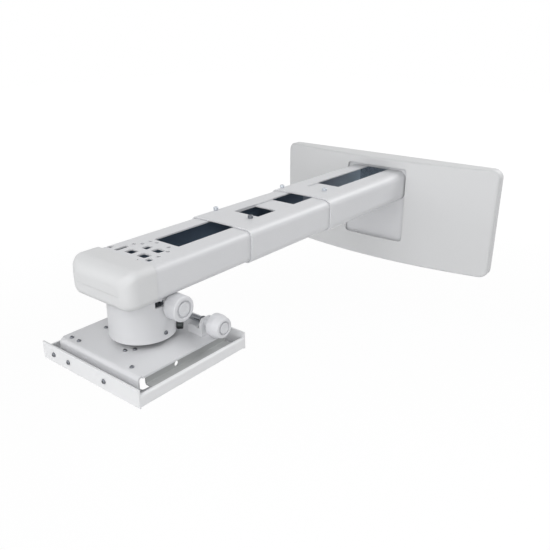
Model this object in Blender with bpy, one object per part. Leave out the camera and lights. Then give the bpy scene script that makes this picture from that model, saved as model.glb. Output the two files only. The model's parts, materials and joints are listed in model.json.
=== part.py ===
"""Telescopic wall mount for a short-throw projector.

Metres, +Z up. The wall is the plane y = 0, the arm reaches out along -Y, and
the origin is the middle of the back of the wall plate.
"""

import math

import bmesh
import bpy
from mathutils import Matrix, Vector

# Fits
TOUCH = 0.0003
SLIDE_FIT = 0.00035
PIN_FIT = 0.0003
ROUND_STEPS = 28
CORNER_STEPS = 5

# Wall cover
COVER_W = 0.480
COVER_H = 0.211
COVER_WALL = 0.0025
COVER_MID_DEPTH = 0.0486
COVER_END_DEPTH = 0.019
COVER_CORNER = 0.016
COVER_EDGE = 0.005
COVER_BOW_STEPS = 14

# Telescopic tubes, measured on the front one
ARM_Z = COVER_H / 2 - 0.0505
TUBE_W = 0.117
TUBE_H = 0.047
TUBE_R = 0.0095
TUBE_WALL = 0.0022
TUBE_STEP = TUBE_WALL + SLIDE_FIT
WALL_TUBE_FRONT = 0.3050
MIDDLE_FRONT = 0.5042
MIDDLE_BACK = 0.2150
HUB_Y = 0.6618
FRONT_FRONT = HUB_Y + 0.0199
FRONT_BACK = 0.3500
SLOT_W = 0.0490
FRONT_SLOT = (0.3950, 0.6110)
MIDDLE_SLOT = (0.2560, 0.4470)
WALL_SLOT = (0.0340, 0.2520)
SLOT_CORNER = 0.002

# Opening of the cover round the wall tube
OPENING_W = TUBE_W + 0.016
OPENING_TOP = ARM_Z + 0.0347
OPENING_BOTTOM = 0.0459 - COVER_H / 2
OPENING_CORNER = 0.007

# Wall plate
PLATE_W = 0.440
PLATE_T = 0.0028
PLATE_FLANGE = 0.0125
WALL_HOLE_R = 0.0045
WALL_HOLE_X = (-0.190, -0.130, 0.130, 0.190)
WALL_HOLE_Z = (0.0255 - COVER_H / 2, COVER_H / 2 - 0.0255)
WALL_SLOT_X = 0.160
WALL_SLOT_L = 0.030
CABLE_HOLE_W = 0.050
CABLE_HOLE_H = 0.030
CABLE_HOLE_Z = 0.0305 - COVER_H / 2

# Bracket that carries the wall tube, and its bolts
BRACKET_HALF_W = TUBE_W / 2 + 0.0215
BRACKET_DEPTH = 0.0405
BRACKET_T = 0.003
BRACKET_FLANGE = 0.024
BRACKET_TOP = COVER_H / 2 - 0.0105
BRACKET_BOTTOM = 0.0435 - COVER_H / 2
BOLT_X = BRACKET_HALF_W + BRACKET_FLANGE / 2
BOLT_Z = (BRACKET_BOTTOM + 0.022, BRACKET_TOP - 0.023)
BOLT_R = 0.0040
BOLT_HEAD_R = 0.0075
BOLT_HEAD_H = 0.0048

# Lock and stop screws of the two sliding joints
LOCK_INSET = 0.0075
LOCK_X = LOCK_INSET - TUBE_W / 2
STOP_X = 0.0205
MIDDLE_LOCK_Y = 0.4600
MIDDLE_STOP_Y = 0.4600
WALL_LOCK_Y = 0.2900
WALL_STOP_Y = 0.2620
ARM_SCREW_R = 0.0023
ARM_SCREW_HEAD_R = 0.0040
ARM_SCREW_HEAD_H = 0.0045

# Cable and tool holes over the swivel: place across, reach from the hub, width and length
BIG_HOLES = (
    (-0.0103, -0.0003, 0.0150, 0.0130),
    (0.0147, -0.0003, 0.0160, 0.0130),
    (-0.0058, -0.0230, 0.0105, 0.0120),
    (0.0150, -0.0235, 0.0150, 0.0130),
    (-0.0310, -0.0005, 0.0070, 0.0210),
    (-0.0462, 0.0056, 0.0070, 0.0070),
    (0.0320, 0.0064, 0.0090, 0.0090),
)
SMALL_HOLES = (
    (-0.0308, -0.0213),
    (-0.0226, -0.0290),
    (-0.0215, -0.0420),
    (-0.0105, -0.0435),
    (0.0160, -0.0410),
    (0.0275, -0.0290),
    (0.0190, 0.0165),
    (0.0320, -0.0090),
)
BIG_HOLE_CORNER = 0.0020
SMALL_HOLE_R = 0.0029

# Moulded end cap
CAP_FRONT = FRONT_FRONT + 0.0483
CAP_OVER = 0.0008
CAP_WALL = 0.0026
CAP_PLAN_R = 0.020
CAP_EDGE_R = 0.0105
CAP_SPIGOT = 0.010
CAP_SPIGOT_T = 0.0020

# Swivel head and its bolt
HEAD_R = 0.0456
HEAD_TOP_R = 0.0442
HEAD_TOP = -0.0246
HEAD_BOTTOM = -0.0874
HEAD_WALL = 0.0045
HEAD_ROOF = 0.0060
HEAD_BEAD = 0.0015
HEAD_STEPS = 36
BOSS_R = 0.0120
BOSS_BOTTOM = -0.0420
SWIVEL_BOLT_R = 0.0050
SWIVEL_BOLT_HEAD_R = 0.0085
SWIVEL_BOLT_HEAD_H = 0.0055
SWIVEL_NUT_R = 0.0085
SWIVEL_NUT_H = 0.0055
SWIVEL_PLATE_HALF_W = TUBE_W / 2 - TUBE_R - 0.004
SWIVEL_PLATE_T = 0.0040
SWIVEL_PLATE_BACK = HUB_Y - 0.0438
SWIVEL_PLATE_FRONT = FRONT_FRONT - CAP_SPIGOT - 0.0032
WINDOW_TURN = -6.0
WINDOW_W = 0.015
WINDOW_TOP = -0.0306
WINDOW_BOTTOM = -0.0392
HEAD_SCREW_Z = -0.0769
SIDE_SCREW_TURN = 41.0
SIDE_SCREW_Z = -0.0780
SIDE_SCREW_R = 0.0025
SIDE_SCREW_HEAD_R = 0.0055
SIDE_SCREW_HEAD_H = 0.0080

# Gimbal under the swivel head
GIMBAL_Z = -0.0910
GIMBAL_HALF = 0.0120
GIMBAL_H = 0.0100
EAR_T = 0.0040
EAR_HALF_W = 0.0080
EAR_GAP = 0.0005
EAR_FOOT = 0.0044
PIN_R = 0.0030
PIN_DEPTH = 0.0050
HEAD_NOTCH_HALF_W = 0.0130
HEAD_NOTCH_TOP = -0.0780

# Tilt knob, its eccentric shaft and the fork it drives
TILT_KNOB_Y = HUB_Y - 0.0138
TILT_KNOB_Z = -0.0418
KNOB1_R = 0.0178
KNOB1_X = (0.0480, 0.0690)
KNOB1_NECK_R = 0.0110
SHAFT_R = 0.0045
ECCENTRIC = 0.00495
ECC_PIN_R = 0.0022
ECC_PIN_FIT = 0.0006
FORK_X = 0.0200
FORK_T = 0.0040
FORK_EYE_R = 0.0062
FORK_HALF = 0.0056
FORK_TOP = 0.0093
FORK_CORNER = 0.0019
SHAFT_END_X = 0.0245
BUSH_R = 0.0085

# Roll knob, its screw with a collar, and the lever that it pulls
ROLL_KNOB_Y = HUB_Y - 0.0558
ROLL_KNOB_Z = -0.0765
KNOB2_R = 0.0165
KNOB2_FACE_R = 0.0130
KNOB2_X = (0.0790, 0.0985)
KNOB2_NECK_R = 0.0120
KNOB2_NECK_X = 0.0675
KNOB_WEB = 0.0060
ROLL_SCREW_R = 0.0038
ROLL_SCREW_END = -0.0105
COLLAR_R = 0.0062
COLLAR_L = 0.0050
LEVER_HALF_W = 0.0070
LEVER_T = 0.0035
LEVER_UP_T = 0.0130
LEVER_UP = 0.0085
LEVER_BORE_FIT = 0.0010
SADDLE_X = 0.0400
SADDLE_EAR_T = 0.0045
SADDLE_HALF_Y = 0.0120
SADDLE_EAR_UP = 0.0066

# Adjusting plate and its guide rails
TOP_PLATE_HALF_W = 0.0830
TOP_PLATE_AHEAD = 0.0782
TOP_PLATE_BEHIND = 0.0788
TOP_PLATE_FRONT = HUB_Y + TOP_PLATE_AHEAD
TOP_PLATE_BACK = HUB_Y - TOP_PLATE_BEHIND
TOP_PLATE_T = 0.0030
TOP_PLATE_Z = -0.0950
TOP_PLATE_CORNER = 0.0025
TOP_PLATE_BEND = 0.0060
TOP_PLATE_LIP = 0.0170
LIP_T = 0.0020
PLATE_WINDOW_HALF = 0.0165
PLATE_WINDOW_WIDER = 0.018
GUIDE_WEB_X = TOP_PLATE_HALF_W - 0.0030
GUIDE_T = 0.0020
GUIDE_TOP_W = 0.0120
GUIDE_SET_BACK = 0.0125
GUIDE_FRONT = TOP_PLATE_FRONT - GUIDE_SET_BACK
GUIDE_BACK = TOP_PLATE_BACK + 0.0040
GUIDE_HOLE_R = 0.0036
GUIDE_HOLE_Y = HUB_Y + 0.0152
GUIDE_HOLE_Z = -0.1038

# Screws of the adjusting plate: place across and reach from the hub
PLATE_SCREWS = (
    (-0.0697, 0.0660),
    (-0.0540, 0.0660),
    (0.0152, 0.0445),
    (0.0550, 0.0660),
    (-0.0577, 0.0190),
    (0.0232, 0.0347),
    (-0.0580, -0.0658),
    (0.0430, -0.0718),
)
PLATE_SCREW_R = 0.0011
PLATE_SCREW_HEAD_R = 0.0030
PLATE_SCREW_HEAD_H = 0.0018

# Slide tray that takes the projector
TRAY_BESIDE = 0.0155
TRAY_AHEAD = 0.0145
TRAY_BEHIND = 0.0175
TRAY_HALF_W = TOP_PLATE_HALF_W + TRAY_BESIDE
TRAY_FRONT = TOP_PLATE_FRONT + TRAY_AHEAD
TRAY_BACK = TOP_PLATE_BACK - TRAY_BEHIND
TRAY_T = 0.0020
TRAY_BOTTOM = -0.1235
TRAY_FRONT_TOP = -0.0985
TRAY_SIDE_TOP = -0.1065
TRAY_LIP = 0.0045
TRAY_FLANGE = 0.0255
TRAY_SCREW_X = (-0.0742, -0.0418, 0.0322)
TRAY_SCREW_Z = -0.1110
TRAY_SCREW_R = 0.0013
TRAY_SCREW_HEAD_R = 0.0034
TRAY_SCREW_HEAD_H = 0.0020
TRAY_HOLE_R = 0.0024
TRAY_HOLE_X = TRAY_HALF_W - 0.0125


def material(name, colour, roughness, metallic=0.0):
    made = bpy.data.materials.new(name)
    made.use_nodes = True
    shader = made.node_tree.nodes["Principled BSDF"]
    shader.inputs["Base Color"].default_value = (*colour, 1.0)
    shader.inputs["Roughness"].default_value = roughness
    shader.inputs["Metallic"].default_value = metallic
    return made


def clear_scene():
    for obj in list(bpy.data.objects):
        bpy.data.objects.remove(obj, do_unlink=True)


def place(name, bm, mat, parent=None, offset=(0, 0, 0), smooth=35.0):
    """Turns the bmesh into a named object at the given place, shaded smooth but for sharp edges."""
    bmesh.ops.recalc_face_normals(bm, faces=bm.faces)
    mesh = bpy.data.meshes.new(name)
    bm.to_mesh(mesh)
    bm.free()
    mesh.materials.append(mat)
    for face in mesh.polygons:
        face.use_smooth = True
    mesh.set_sharp_from_angle(angle=math.radians(smooth))
    obj = bpy.data.objects.new(name, mesh)
    bpy.context.scene.collection.objects.link(obj)
    obj.location = Vector(offset)
    if parent is not None:
        obj.parent = parent
        obj.location = Vector(offset) - parent_origin(parent)
    return obj


def parent_origin(obj):
    at = Vector(obj.location)
    while obj.parent is not None:
        obj = obj.parent
        at += obj.location
    return at


def copy_of(source, name, parent, offset):
    obj = bpy.data.objects.new(name, source.data)
    bpy.context.scene.collection.objects.link(obj)
    obj.parent = parent
    obj.location = Vector(offset) - (parent_origin(parent) if parent else Vector())
    return obj


def joint_frame(name, at, parent=None):
    """An empty on a joint's axis, which its moving pieces ride on."""
    empty = bpy.data.objects.new(name, None)
    bpy.context.scene.collection.objects.link(empty)
    empty.empty_display_size = 0.02
    empty.location = Vector(at)
    if parent is not None:
        empty.parent = parent
        empty.location = Vector(at) - parent_origin(parent)
    return empty


def cut(target, bm, operation="DIFFERENCE"):
    """A Boolean on the target, whose other operand is kept in the scene unseen."""
    bmesh.ops.recalc_face_normals(bm, faces=bm.faces)
    number = len([m for m in target.modifiers if m.type == "BOOLEAN"]) + 1
    mesh = bpy.data.meshes.new(f"{target.name}_shape_{number}")
    bm.to_mesh(mesh)
    bm.free()
    cutter = bpy.data.objects.new(mesh.name, mesh)
    bpy.context.scene.collection.objects.link(cutter)
    cutter.hide_render = True
    cutter.display_type = "WIRE"
    cutter.parent = target
    shift = parent_origin(target)
    for vertex in mesh.vertices:
        vertex.co -= shift
    modifier = target.modifiers.new(mesh.name, "BOOLEAN")
    modifier.operation = operation
    modifier.solver = "EXACT"
    modifier.object = cutter
    return target


def rounded_rect(width, height, radius, centre=(0.0, 0.0), steps=CORNER_STEPS, along=1):
    """Points of a rounded rectangle, anticlockwise from the right of its top edge."""
    cx, cz = centre
    points = []
    corners = ((1, 1, 0), (-1, 1, 90), (-1, -1, 180), (1, -1, 270))
    for index, (sx, sz, start) in enumerate(corners):
        mx = cx + sx * (width / 2 - radius)
        mz = cz + sz * (height / 2 - radius)
        for step in range(steps + 1):
            angle = math.radians(start + 90 * step / steps)
            points.append((mx + radius * math.cos(angle), mz + radius * math.sin(angle)))
        if along > 1 and index in (0, 2):
            x0, z0 = points[-1]
            x1 = 2 * cx - x0
            for step in range(1, along):
                points.append((x0 + (x1 - x0) * step / along, z0))
    return points


def circle(radius, centre=(0.0, 0.0), steps=ROUND_STEPS):
    return [
        (
            centre[0] + radius * math.cos(2 * math.pi * k / steps),
            centre[1] + radius * math.sin(2 * math.pi * k / steps),
        )
        for k in range(steps)
    ]


def slot_outline(length, radius, centre=(0.0, 0.0), steps=6):
    """A slot along the first axis with round ends."""
    points = []
    for side, start in ((1, -90), (-1, 90)):
        for k in range(steps + 1):
            angle = math.radians(start + 180 * k / steps)
            x = centre[0] + side * (length / 2 - radius) + radius * math.cos(angle)
            points.append((x, centre[1] + radius * math.sin(angle)))
    return points


# Frames for flat outlines: first axis, second axis, direction of thickness
AXES = {
    "z": (Vector((1, 0, 0)), Vector((0, 1, 0)), Vector((0, 0, 1))),
    "y": (Vector((1, 0, 0)), Vector((0, 0, 1)), Vector((0, 1, 0))),
    "x": (Vector((0, 1, 0)), Vector((0, 0, 1)), Vector((1, 0, 0))),
}


def slab(outline, axis, start, end, holes=()):
    """A flat outline with holes, given thickness from start to end along the axis."""
    first, second, along = AXES[axis]
    bm = bmesh.new()
    edges = []
    for loop in (outline, *holes):
        verts = [bm.verts.new(first * a + second * b + along * start) for a, b in loop]
        for k, vert in enumerate(verts):
            edges.append(bm.edges.new((vert, verts[(k + 1) % len(verts)])))
    if holes:
        bmesh.ops.triangle_fill(bm, edges=edges, use_beauty=True, use_dissolve=False)
    else:
        bm.faces.new(bm.verts)
    grown = bmesh.ops.extrude_face_region(bm, geom=list(bm.faces))
    moved = [item for item in grown["geom"] if isinstance(item, bmesh.types.BMVert)]
    bmesh.ops.translate(bm, verts=moved, vec=along * (end - start))
    return bm


def box(x0, x1, y0, y1, z0, z1):
    outline = [(x0, y0), (x1, y0), (x1, y1), (x0, y1)]
    return slab(outline, "z", z0, z1)


def join(*parts):
    """One bmesh holding several separate ones."""
    whole = bmesh.new()
    for bm in parts:
        mesh = bpy.data.meshes.new("piece")
        bm.to_mesh(mesh)
        bm.free()
        whole.from_mesh(mesh)
        bpy.data.meshes.remove(mesh)
    return whole


def loft(loops):
    """A skin through loops of equal length, closed by a face on the first and the last."""
    bm = bmesh.new()
    rings = [[bm.verts.new(point) for point in loop] for loop in loops]
    for low, high in zip(rings, rings[1:]):
        count = len(low)
        for k in range(count):
            after = (k + 1) % count
            bm.faces.new((low[k], low[after], high[after], high[k]))
    bm.faces.new(rings[0])
    bm.faces.new(rings[-1])
    return bm


def turned(profile, axis="z", centre=(0, 0, 0), steps=ROUND_STEPS):
    """A turned solid from (radius, place) pairs along the axis, flat at both ends."""
    first, second, along = AXES[axis]
    origin = Vector(centre)
    loops = []
    for radius, place_along in profile:
        ring = circle(radius, steps=steps)
        loops.append([origin + first * a + second * b + along * place_along for a, b in ring])
    return loft(loops)


def recess(bm, axis, at, radius, shape, depth, steps):
    """Sinks a socket of the given shape into the flat face that lies at the given place."""
    along = AXES[axis][2]
    first, second = AXES[axis][0], AXES[axis][1]
    face = max(bm.faces, key=lambda f: (len(f.verts) >= steps, f.calc_center_median().dot(along) * at))
    centre = face.calc_center_median()
    bmesh.ops.inset_region(bm, faces=[face], thickness=radius * 0.3, use_even_offset=False)
    for vert in face.verts:
        arm = vert.co - centre
        angle = math.atan2(arm.dot(second), arm.dot(first))
        size = shape(angle) * radius
        vert.co = centre + (first * math.cos(angle) + second * math.sin(angle)) * size
    grown = bmesh.ops.extrude_face_region(bm, geom=[face])
    moved = [item for item in grown["geom"] if isinstance(item, bmesh.types.BMVert)]
    bmesh.ops.translate(bm, verts=moved, vec=-along * depth * at)
    bmesh.ops.delete(bm, geom=[face], context="FACES_KEEP_BOUNDARY")
    return bm


def hexagon_at(angle):
    sector = math.pi / 3
    return math.cos(math.pi / 6) / math.cos((angle % sector) - sector / 2)


def cross_at(angle):
    return 1.0 if abs(math.sin(2 * angle)) < 0.55 else 0.42


def screw(head_r, head_h, shank_r, shank_l, axis="z", out=1, socket=hexagon_at, steps=16):
    """A screw whose head stands on the plane through its origin and whose shank goes below it."""
    edge = min(head_h * 0.25, 0.0006)
    profile = [
        (shank_r, -shank_l * out),
        (shank_r, 0.0),
        (head_r, 0.0),
        (head_r, (head_h - edge) * out),
        (head_r - edge, head_h * out),
    ]
    bm = turned(profile, axis, steps=steps)
    return recess(bm, axis, out, head_r * 0.52, socket, head_h * 0.55, steps)


def bow_depth(x):
    return COVER_END_DEPTH + (COVER_MID_DEPTH - COVER_END_DEPTH) * (1 - (2 * x / COVER_W) ** 2)


def cover_loop(inset, back):
    """One outline of the cover, standing the given distance behind the bowed front."""
    radius = max(COVER_CORNER - inset, 0.0015)
    outline = rounded_rect(
        COVER_W - 2 * inset, COVER_H - 2 * inset, radius, steps=5, along=COVER_BOW_STEPS
    )
    return [Vector((x, -(bow_depth(x) - back), z)) for x, z in outline]


def build_cover(mat):
    """A moulded shell, bowed from end to end, with rounded edges and an opening for the arm."""
    rim = cover_loop(0.0, 0.0)
    for point in rim:
        point.y = -TOUCH
    inner_rim = cover_loop(COVER_WALL, 0.0)
    for point in inner_rim:
        point.y = -TOUCH
    outer = [rim]
    inner = [inner_rim]
    for step in range(5):
        angle = math.radians(90 * step / 4)
        inset = COVER_EDGE * (1 - math.cos(angle))
        outer.append(cover_loop(inset, COVER_EDGE * (1 - math.sin(angle))))
        inner_r = COVER_EDGE - COVER_WALL
        inner_inset = COVER_WALL + inner_r * (1 - math.cos(angle))
        inner.append(cover_loop(inner_inset, COVER_WALL + inner_r * (1 - math.sin(angle))))
    bm = bmesh.new()
    chain = [[bm.verts.new(p) for p in loop] for loop in (*reversed(inner), *outer)]
    count = len(chain[0])
    for low, high in zip(chain, chain[1:]):
        for k in range(count):
            after = (k + 1) % count
            bm.faces.new((low[k], low[after], high[after], high[k]))
    # The front is closed in upright strips, so that it keeps its bow
    for ring in (chain[0], chain[-1]):
        pairs = strip_pairs(ring)
        for (t0, b0), (t1, b1) in zip(pairs, pairs[1:]):
            bm.faces.new((t0, t1, b1, b0))
    cover = place("wall_cover", bm, mat, smooth=40.0)
    middle = (OPENING_TOP + OPENING_BOTTOM) / 2
    outline = rounded_rect(OPENING_W, OPENING_TOP - OPENING_BOTTOM, OPENING_CORNER, (0, middle))
    cut(cover, slab(outline, "y", -COVER_MID_DEPTH - 0.01, -COVER_END_DEPTH))
    return cover


def strip_pairs(ring):
    """Upper and lower corners of the upright strips of a ring that is symmetric up and down."""
    upper = sorted((v for v in ring if v.co.z > 0), key=lambda v: (round(v.co.x, 7), v.co.z))
    lower = sorted((v for v in ring if v.co.z < 0), key=lambda v: (round(v.co.x, 7), -v.co.z))
    return list(zip(upper, lower))


def build_wall_plate(mat):
    """A sheet folded forward along its top and bottom, with holes for the wall and the bracket."""
    half_h = COVER_H / 2 - COVER_WALL - TOUCH
    t = PLATE_T
    profile = [
        (0.0, -half_h),
        (-PLATE_FLANGE, -half_h),
        (-PLATE_FLANGE, -half_h + t),
        (-t, -half_h + t),
        (-t, half_h - t),
        (-PLATE_FLANGE, half_h - t),
        (-PLATE_FLANGE, half_h),
        (0.0, half_h),
    ]
    plate = place("wall_plate", slab(profile, "x", -PLATE_W / 2, PLATE_W / 2), mat)
    y0, y1 = -2 * t, t
    cutters = []
    for x in WALL_HOLE_X:
        for z in WALL_HOLE_Z:
            cutters.append(slab(circle(WALL_HOLE_R, (x, z), 14), "y", y0, y1))
    for side in (-1, 1):
        slot = slot_outline(WALL_SLOT_L, WALL_HOLE_R, (side * WALL_SLOT_X, 0.0))
        cutters.append(slab(slot, "y", y0, y1))
        for z in BOLT_Z:
            hole = circle(BOLT_R + PIN_FIT, (side * BOLT_X, z), 12)
            cutters.append(slab(hole, "y", y0, y1))
    cable = rounded_rect(CABLE_HOLE_W, CABLE_HOLE_H, 0.006, (0.0, CABLE_HOLE_Z))
    cutters.append(slab(cable, "y", y0, y1))
    return cut(plate, join(*cutters))


def build_bracket(mat):
    """A hat-shaped bracket: two flanges on the wall plate and a front that the wall tube passes."""
    w, t, d = BRACKET_HALF_W, BRACKET_T, BRACKET_DEPTH
    y = PLATE_T + TOUCH
    f = BRACKET_FLANGE
    profile = [
        (-w - f, -y),
        (-w - f, -y - t),
        (-w, -y - t),
        (-w, -d),
        (w, -d),
        (w, -y - t),
        (w + f, -y - t),
        (w + f, -y),
        (w - t, -y),
        (w - t, -d + t),
        (-w + t, -d + t),
        (-w + t, -y),
    ]
    bracket = place("arm_bracket", slab(profile, "z", BRACKET_BOTTOM, BRACKET_TOP), mat)
    step = 2 * TUBE_STEP + TOUCH
    passage = rounded_rect(TUBE_W + 2 * step, TUBE_H + 2 * step, TUBE_R + step, (0, ARM_Z))
    cutters = [slab(passage, "y", -d - t, -d + 2 * t)]
    for side in (-1, 1):
        for z in BOLT_Z:
            hole = circle(BOLT_R + PIN_FIT, (side * BOLT_X, z), 12)
            cutters.append(slab(hole, "y", -y - 2 * t, 0.0))
    return cut(bracket, join(*cutters))


def build_tube(name, level, front, back, slot, mat, parent, origin):
    """A rounded box tube; level 0 is the front tube and each further level goes over the last."""
    step = level * TUBE_STEP
    w, h, r = TUBE_W + 2 * step, TUBE_H + 2 * step, TUBE_R + step
    outer = rounded_rect(w, h, r, (0, ARM_Z))
    inner = rounded_rect(w - 2 * TUBE_WALL, h - 2 * TUBE_WALL, r - TUBE_WALL, (0, ARM_Z))
    bm = slab(outer, "y", -front, -back, holes=[inner])
    bmesh.ops.translate(bm, verts=bm.verts, vec=-Vector(origin))
    tube = place(name, bm, mat, parent, origin)
    top = ARM_Z + h / 2
    hole = rounded_rect(SLOT_W, slot[1] - slot[0], SLOT_CORNER, (0, -(slot[0] + slot[1]) / 2), 2)
    return tube, top, hole


def clear_scene_and_build():
    clear_scene()

    paint = material("white_satin_paint", (0.80, 0.81, 0.83), 0.42)
    shell = material("white_moulding", (0.79, 0.80, 0.81), 0.50)
    knob_white = material("white_knob", (0.82, 0.83, 0.84), 0.38)
    zinc = material("zinc_plate", (0.62, 0.65, 0.69), 0.35, 1.0)
    steel = material("bright_steel", (0.66, 0.68, 0.70), 0.22, 1.0)
    dark = material("dark_screw", (0.16, 0.17, 0.19), 0.40, 1.0)

    root_pieces(paint, shell, zinc, dark)
    middle_frame = middle_pieces(paint, dark)
    front_frame = front_pieces(paint, shell, zinc, middle_frame)
    swivel_frame = swivel_pieces(paint, zinc, steel, dark, knob_white, front_frame)
    tilt_frame = tilt_pieces(zinc, steel, swivel_frame)
    plate_frame = plate_pieces(paint, steel, dark, knob_white, tilt_frame)
    tray_pieces(paint, dark, plate_frame)


def root_pieces(paint, shell, zinc, dark):
    build_wall_plate(zinc)
    build_bracket(paint)
    build_cover(shell)
    depth = BRACKET_T + PLATE_T + TOUCH - 0.0006
    bolt = screw(BOLT_HEAD_R, BOLT_HEAD_H, BOLT_R, depth, "y", -1)
    seat = -(PLATE_T + TOUCH + BRACKET_T + TOUCH)
    first = None
    for side, label in ((-1, "left"), (1, "right")):
        for z, level in zip(BOLT_Z, ("lower", "upper")):
            at = (side * BOLT_X, seat, z)
            name = f"bracket_bolt_{label}_{level}"
            if first is None:
                first = place(name, bolt, dark, None, at)
            else:
                copy_of(first, name, None, at)
    tube, top, hole = build_tube(
        "wall_tube", 2, WALL_TUBE_FRONT, PLATE_T + TOUCH, WALL_SLOT, paint, None, (0, 0, 0)
    )
    cut_slot_and_screw_holes(tube, top, hole, WALL_LOCK_Y, WALL_STOP_Y)
    lock_and_stop("wall_tube", None, WALL_LOCK_Y, WALL_STOP_Y, top, dark)


def cut_slot_and_screw_holes(tube, top, hole, lock_y, stop_y):
    above = top + 0.01
    cutters = [slab(hole, "z", ARM_Z, above)]
    radius = ARM_SCREW_R + PIN_FIT
    for x, y in ((LOCK_X, lock_y), (STOP_X, stop_y)):
        cutters.append(turned([(radius, ARM_Z), (radius, above)], centre=(x, -y, 0), steps=16))
    cut(tube, join(*cutters))


def lock_and_stop(prefix, parent, lock_y, stop_y, top, mat):
    """The lock screw that bears on the tube inside and the stop screw that runs in its slot."""
    bearing = TUBE_STEP
    lock = screw(ARM_SCREW_HEAD_R, ARM_SCREW_HEAD_H, ARM_SCREW_R, bearing)
    place(f"{prefix}_lock_screw", lock, mat, parent, (LOCK_X, -lock_y, top + TOUCH))
    running = TUBE_STEP + TUBE_WALL
    stop = screw(ARM_SCREW_HEAD_R, ARM_SCREW_HEAD_H, ARM_SCREW_R, running)
    place(f"{prefix}_stop_screw", stop, mat, parent, (STOP_X, -stop_y, top + TOUCH))


def middle_pieces(paint, dark):
    origin = (0, -MIDDLE_FRONT, ARM_Z)
    frame = joint_frame("middle_slide", origin)
    tube, top, hole = build_tube(
        "middle_tube", 1, MIDDLE_FRONT, MIDDLE_BACK, MIDDLE_SLOT, paint, frame, origin
    )
    cut_slot_and_screw_holes(tube, top, hole, MIDDLE_LOCK_Y, MIDDLE_STOP_Y)
    lock_and_stop("middle_tube", frame, MIDDLE_LOCK_Y, MIDDLE_STOP_Y, top, dark)
    return frame


def front_pieces(paint, shell, zinc, parent):
    origin = (0, -FRONT_FRONT, ARM_Z)
    frame = joint_frame("front_slide", origin, parent)
    tube, top, hole = build_tube(
        "front_tube", 0, FRONT_FRONT, FRONT_BACK, FRONT_SLOT, paint, frame, origin
    )
    low, high = ARM_Z, top + 0.01
    parts = [slab(hole, "z", low, high)]
    for x, reach, width, length in BIG_HOLES:
        outline = rounded_rect(width, length, BIG_HOLE_CORNER, (x, -HUB_Y - reach), 2)
        parts.append(slab(outline, "z", low, high))
    for x, reach in SMALL_HOLES:
        centre = (x, -HUB_Y - reach, 0)
        parts.append(turned([(SMALL_HOLE_R, low), (SMALL_HOLE_R, high)], centre=centre, steps=12))
    cut(tube, join(*parts))
    bolt_hole = turned(
        [(SWIVEL_BOLT_R + PIN_FIT, ARM_Z - TUBE_H), (SWIVEL_BOLT_R + PIN_FIT, ARM_Z)],
        centre=(0, -HUB_Y, 0),
    )
    cut(tube, bolt_hole)
    build_cap(shell, frame)
    floor = ARM_Z - TUBE_H / 2 + TUBE_WALL + TOUCH
    middle = (SWIVEL_PLATE_BACK + SWIVEL_PLATE_FRONT) / 2
    length = SWIVEL_PLATE_FRONT - SWIVEL_PLATE_BACK
    outline = rounded_rect(2 * SWIVEL_PLATE_HALF_W, length, 0.004, (0, -middle))
    holes = [circle(SWIVEL_BOLT_R + PIN_FIT, (0, -HUB_Y))]
    bm = slab(outline, "z", floor, floor + SWIVEL_PLATE_T, holes)
    bmesh.ops.translate(bm, verts=bm.verts, vec=-Vector((0, -HUB_Y, floor)))
    place("swivel_plate", bm, zinc, frame, (0, -HUB_Y, floor))
    return frame


def cap_loop(from_front, inset):
    """Section of the end cap at a distance behind its front, drawn in by the inset."""
    s = max(from_front - inset, 0.0)
    plan_r, edge_r = CAP_PLAN_R - inset, CAP_EDGE_R - inset
    side = plan_r - math.sqrt(max(plan_r**2 - max(plan_r - s, 0.0) ** 2, 0.0))
    rise = edge_r - math.sqrt(max(edge_r**2 - max(edge_r - s, 0.0) ** 2, 0.0))
    w = TUBE_W + 2 * CAP_OVER - 2 * inset - 2 * side
    h = TUBE_H + 2 * CAP_OVER - 2 * inset - 2 * rise
    r = TUBE_R + CAP_OVER - inset
    outline = rounded_rect(w, h, r, (0, ARM_Z))
    return [Vector((x, -CAP_FRONT + from_front, z)) for x, z in outline]


def build_cap(mat, parent):
    """The moulded cap: a hollow rounded end with a spigot inside the front tube."""
    length = CAP_FRONT - FRONT_FRONT - TOUCH
    places = [0.0, 0.0008, 0.0028, 0.0062, 0.0108, 0.0200, length]
    outer = [cap_loop(s, 0.0) for s in places]
    inner = [cap_loop(CAP_WALL + s, CAP_WALL) for s in places[:-1]]
    fit = TUBE_WALL + PIN_FIT
    spigot_out = rounded_rect(TUBE_W - 2 * fit, TUBE_H - 2 * fit, TUBE_R - fit, (0, ARM_Z))
    inside = fit + CAP_SPIGOT_T
    spigot_in = rounded_rect(TUBE_W - 2 * inside, TUBE_H - 2 * inside, TUBE_R - inside, (0, ARM_Z))
    seam = -CAP_FRONT + length
    end = seam + CAP_SPIGOT
    chain = list(inner)
    chain.append([Vector((x, end, z)) for x, z in spigot_in])
    chain.append([Vector((x, end, z)) for x, z in spigot_out])
    chain.append([Vector((x, seam, z)) for x, z in spigot_out])
    chain.extend(reversed(outer))
    bm = loft(chain)
    origin = Vector((0, -FRONT_FRONT, ARM_Z))
    bmesh.ops.translate(bm, verts=bm.verts, vec=-origin)
    return place("end_cap", bm, mat, parent, origin)


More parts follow.
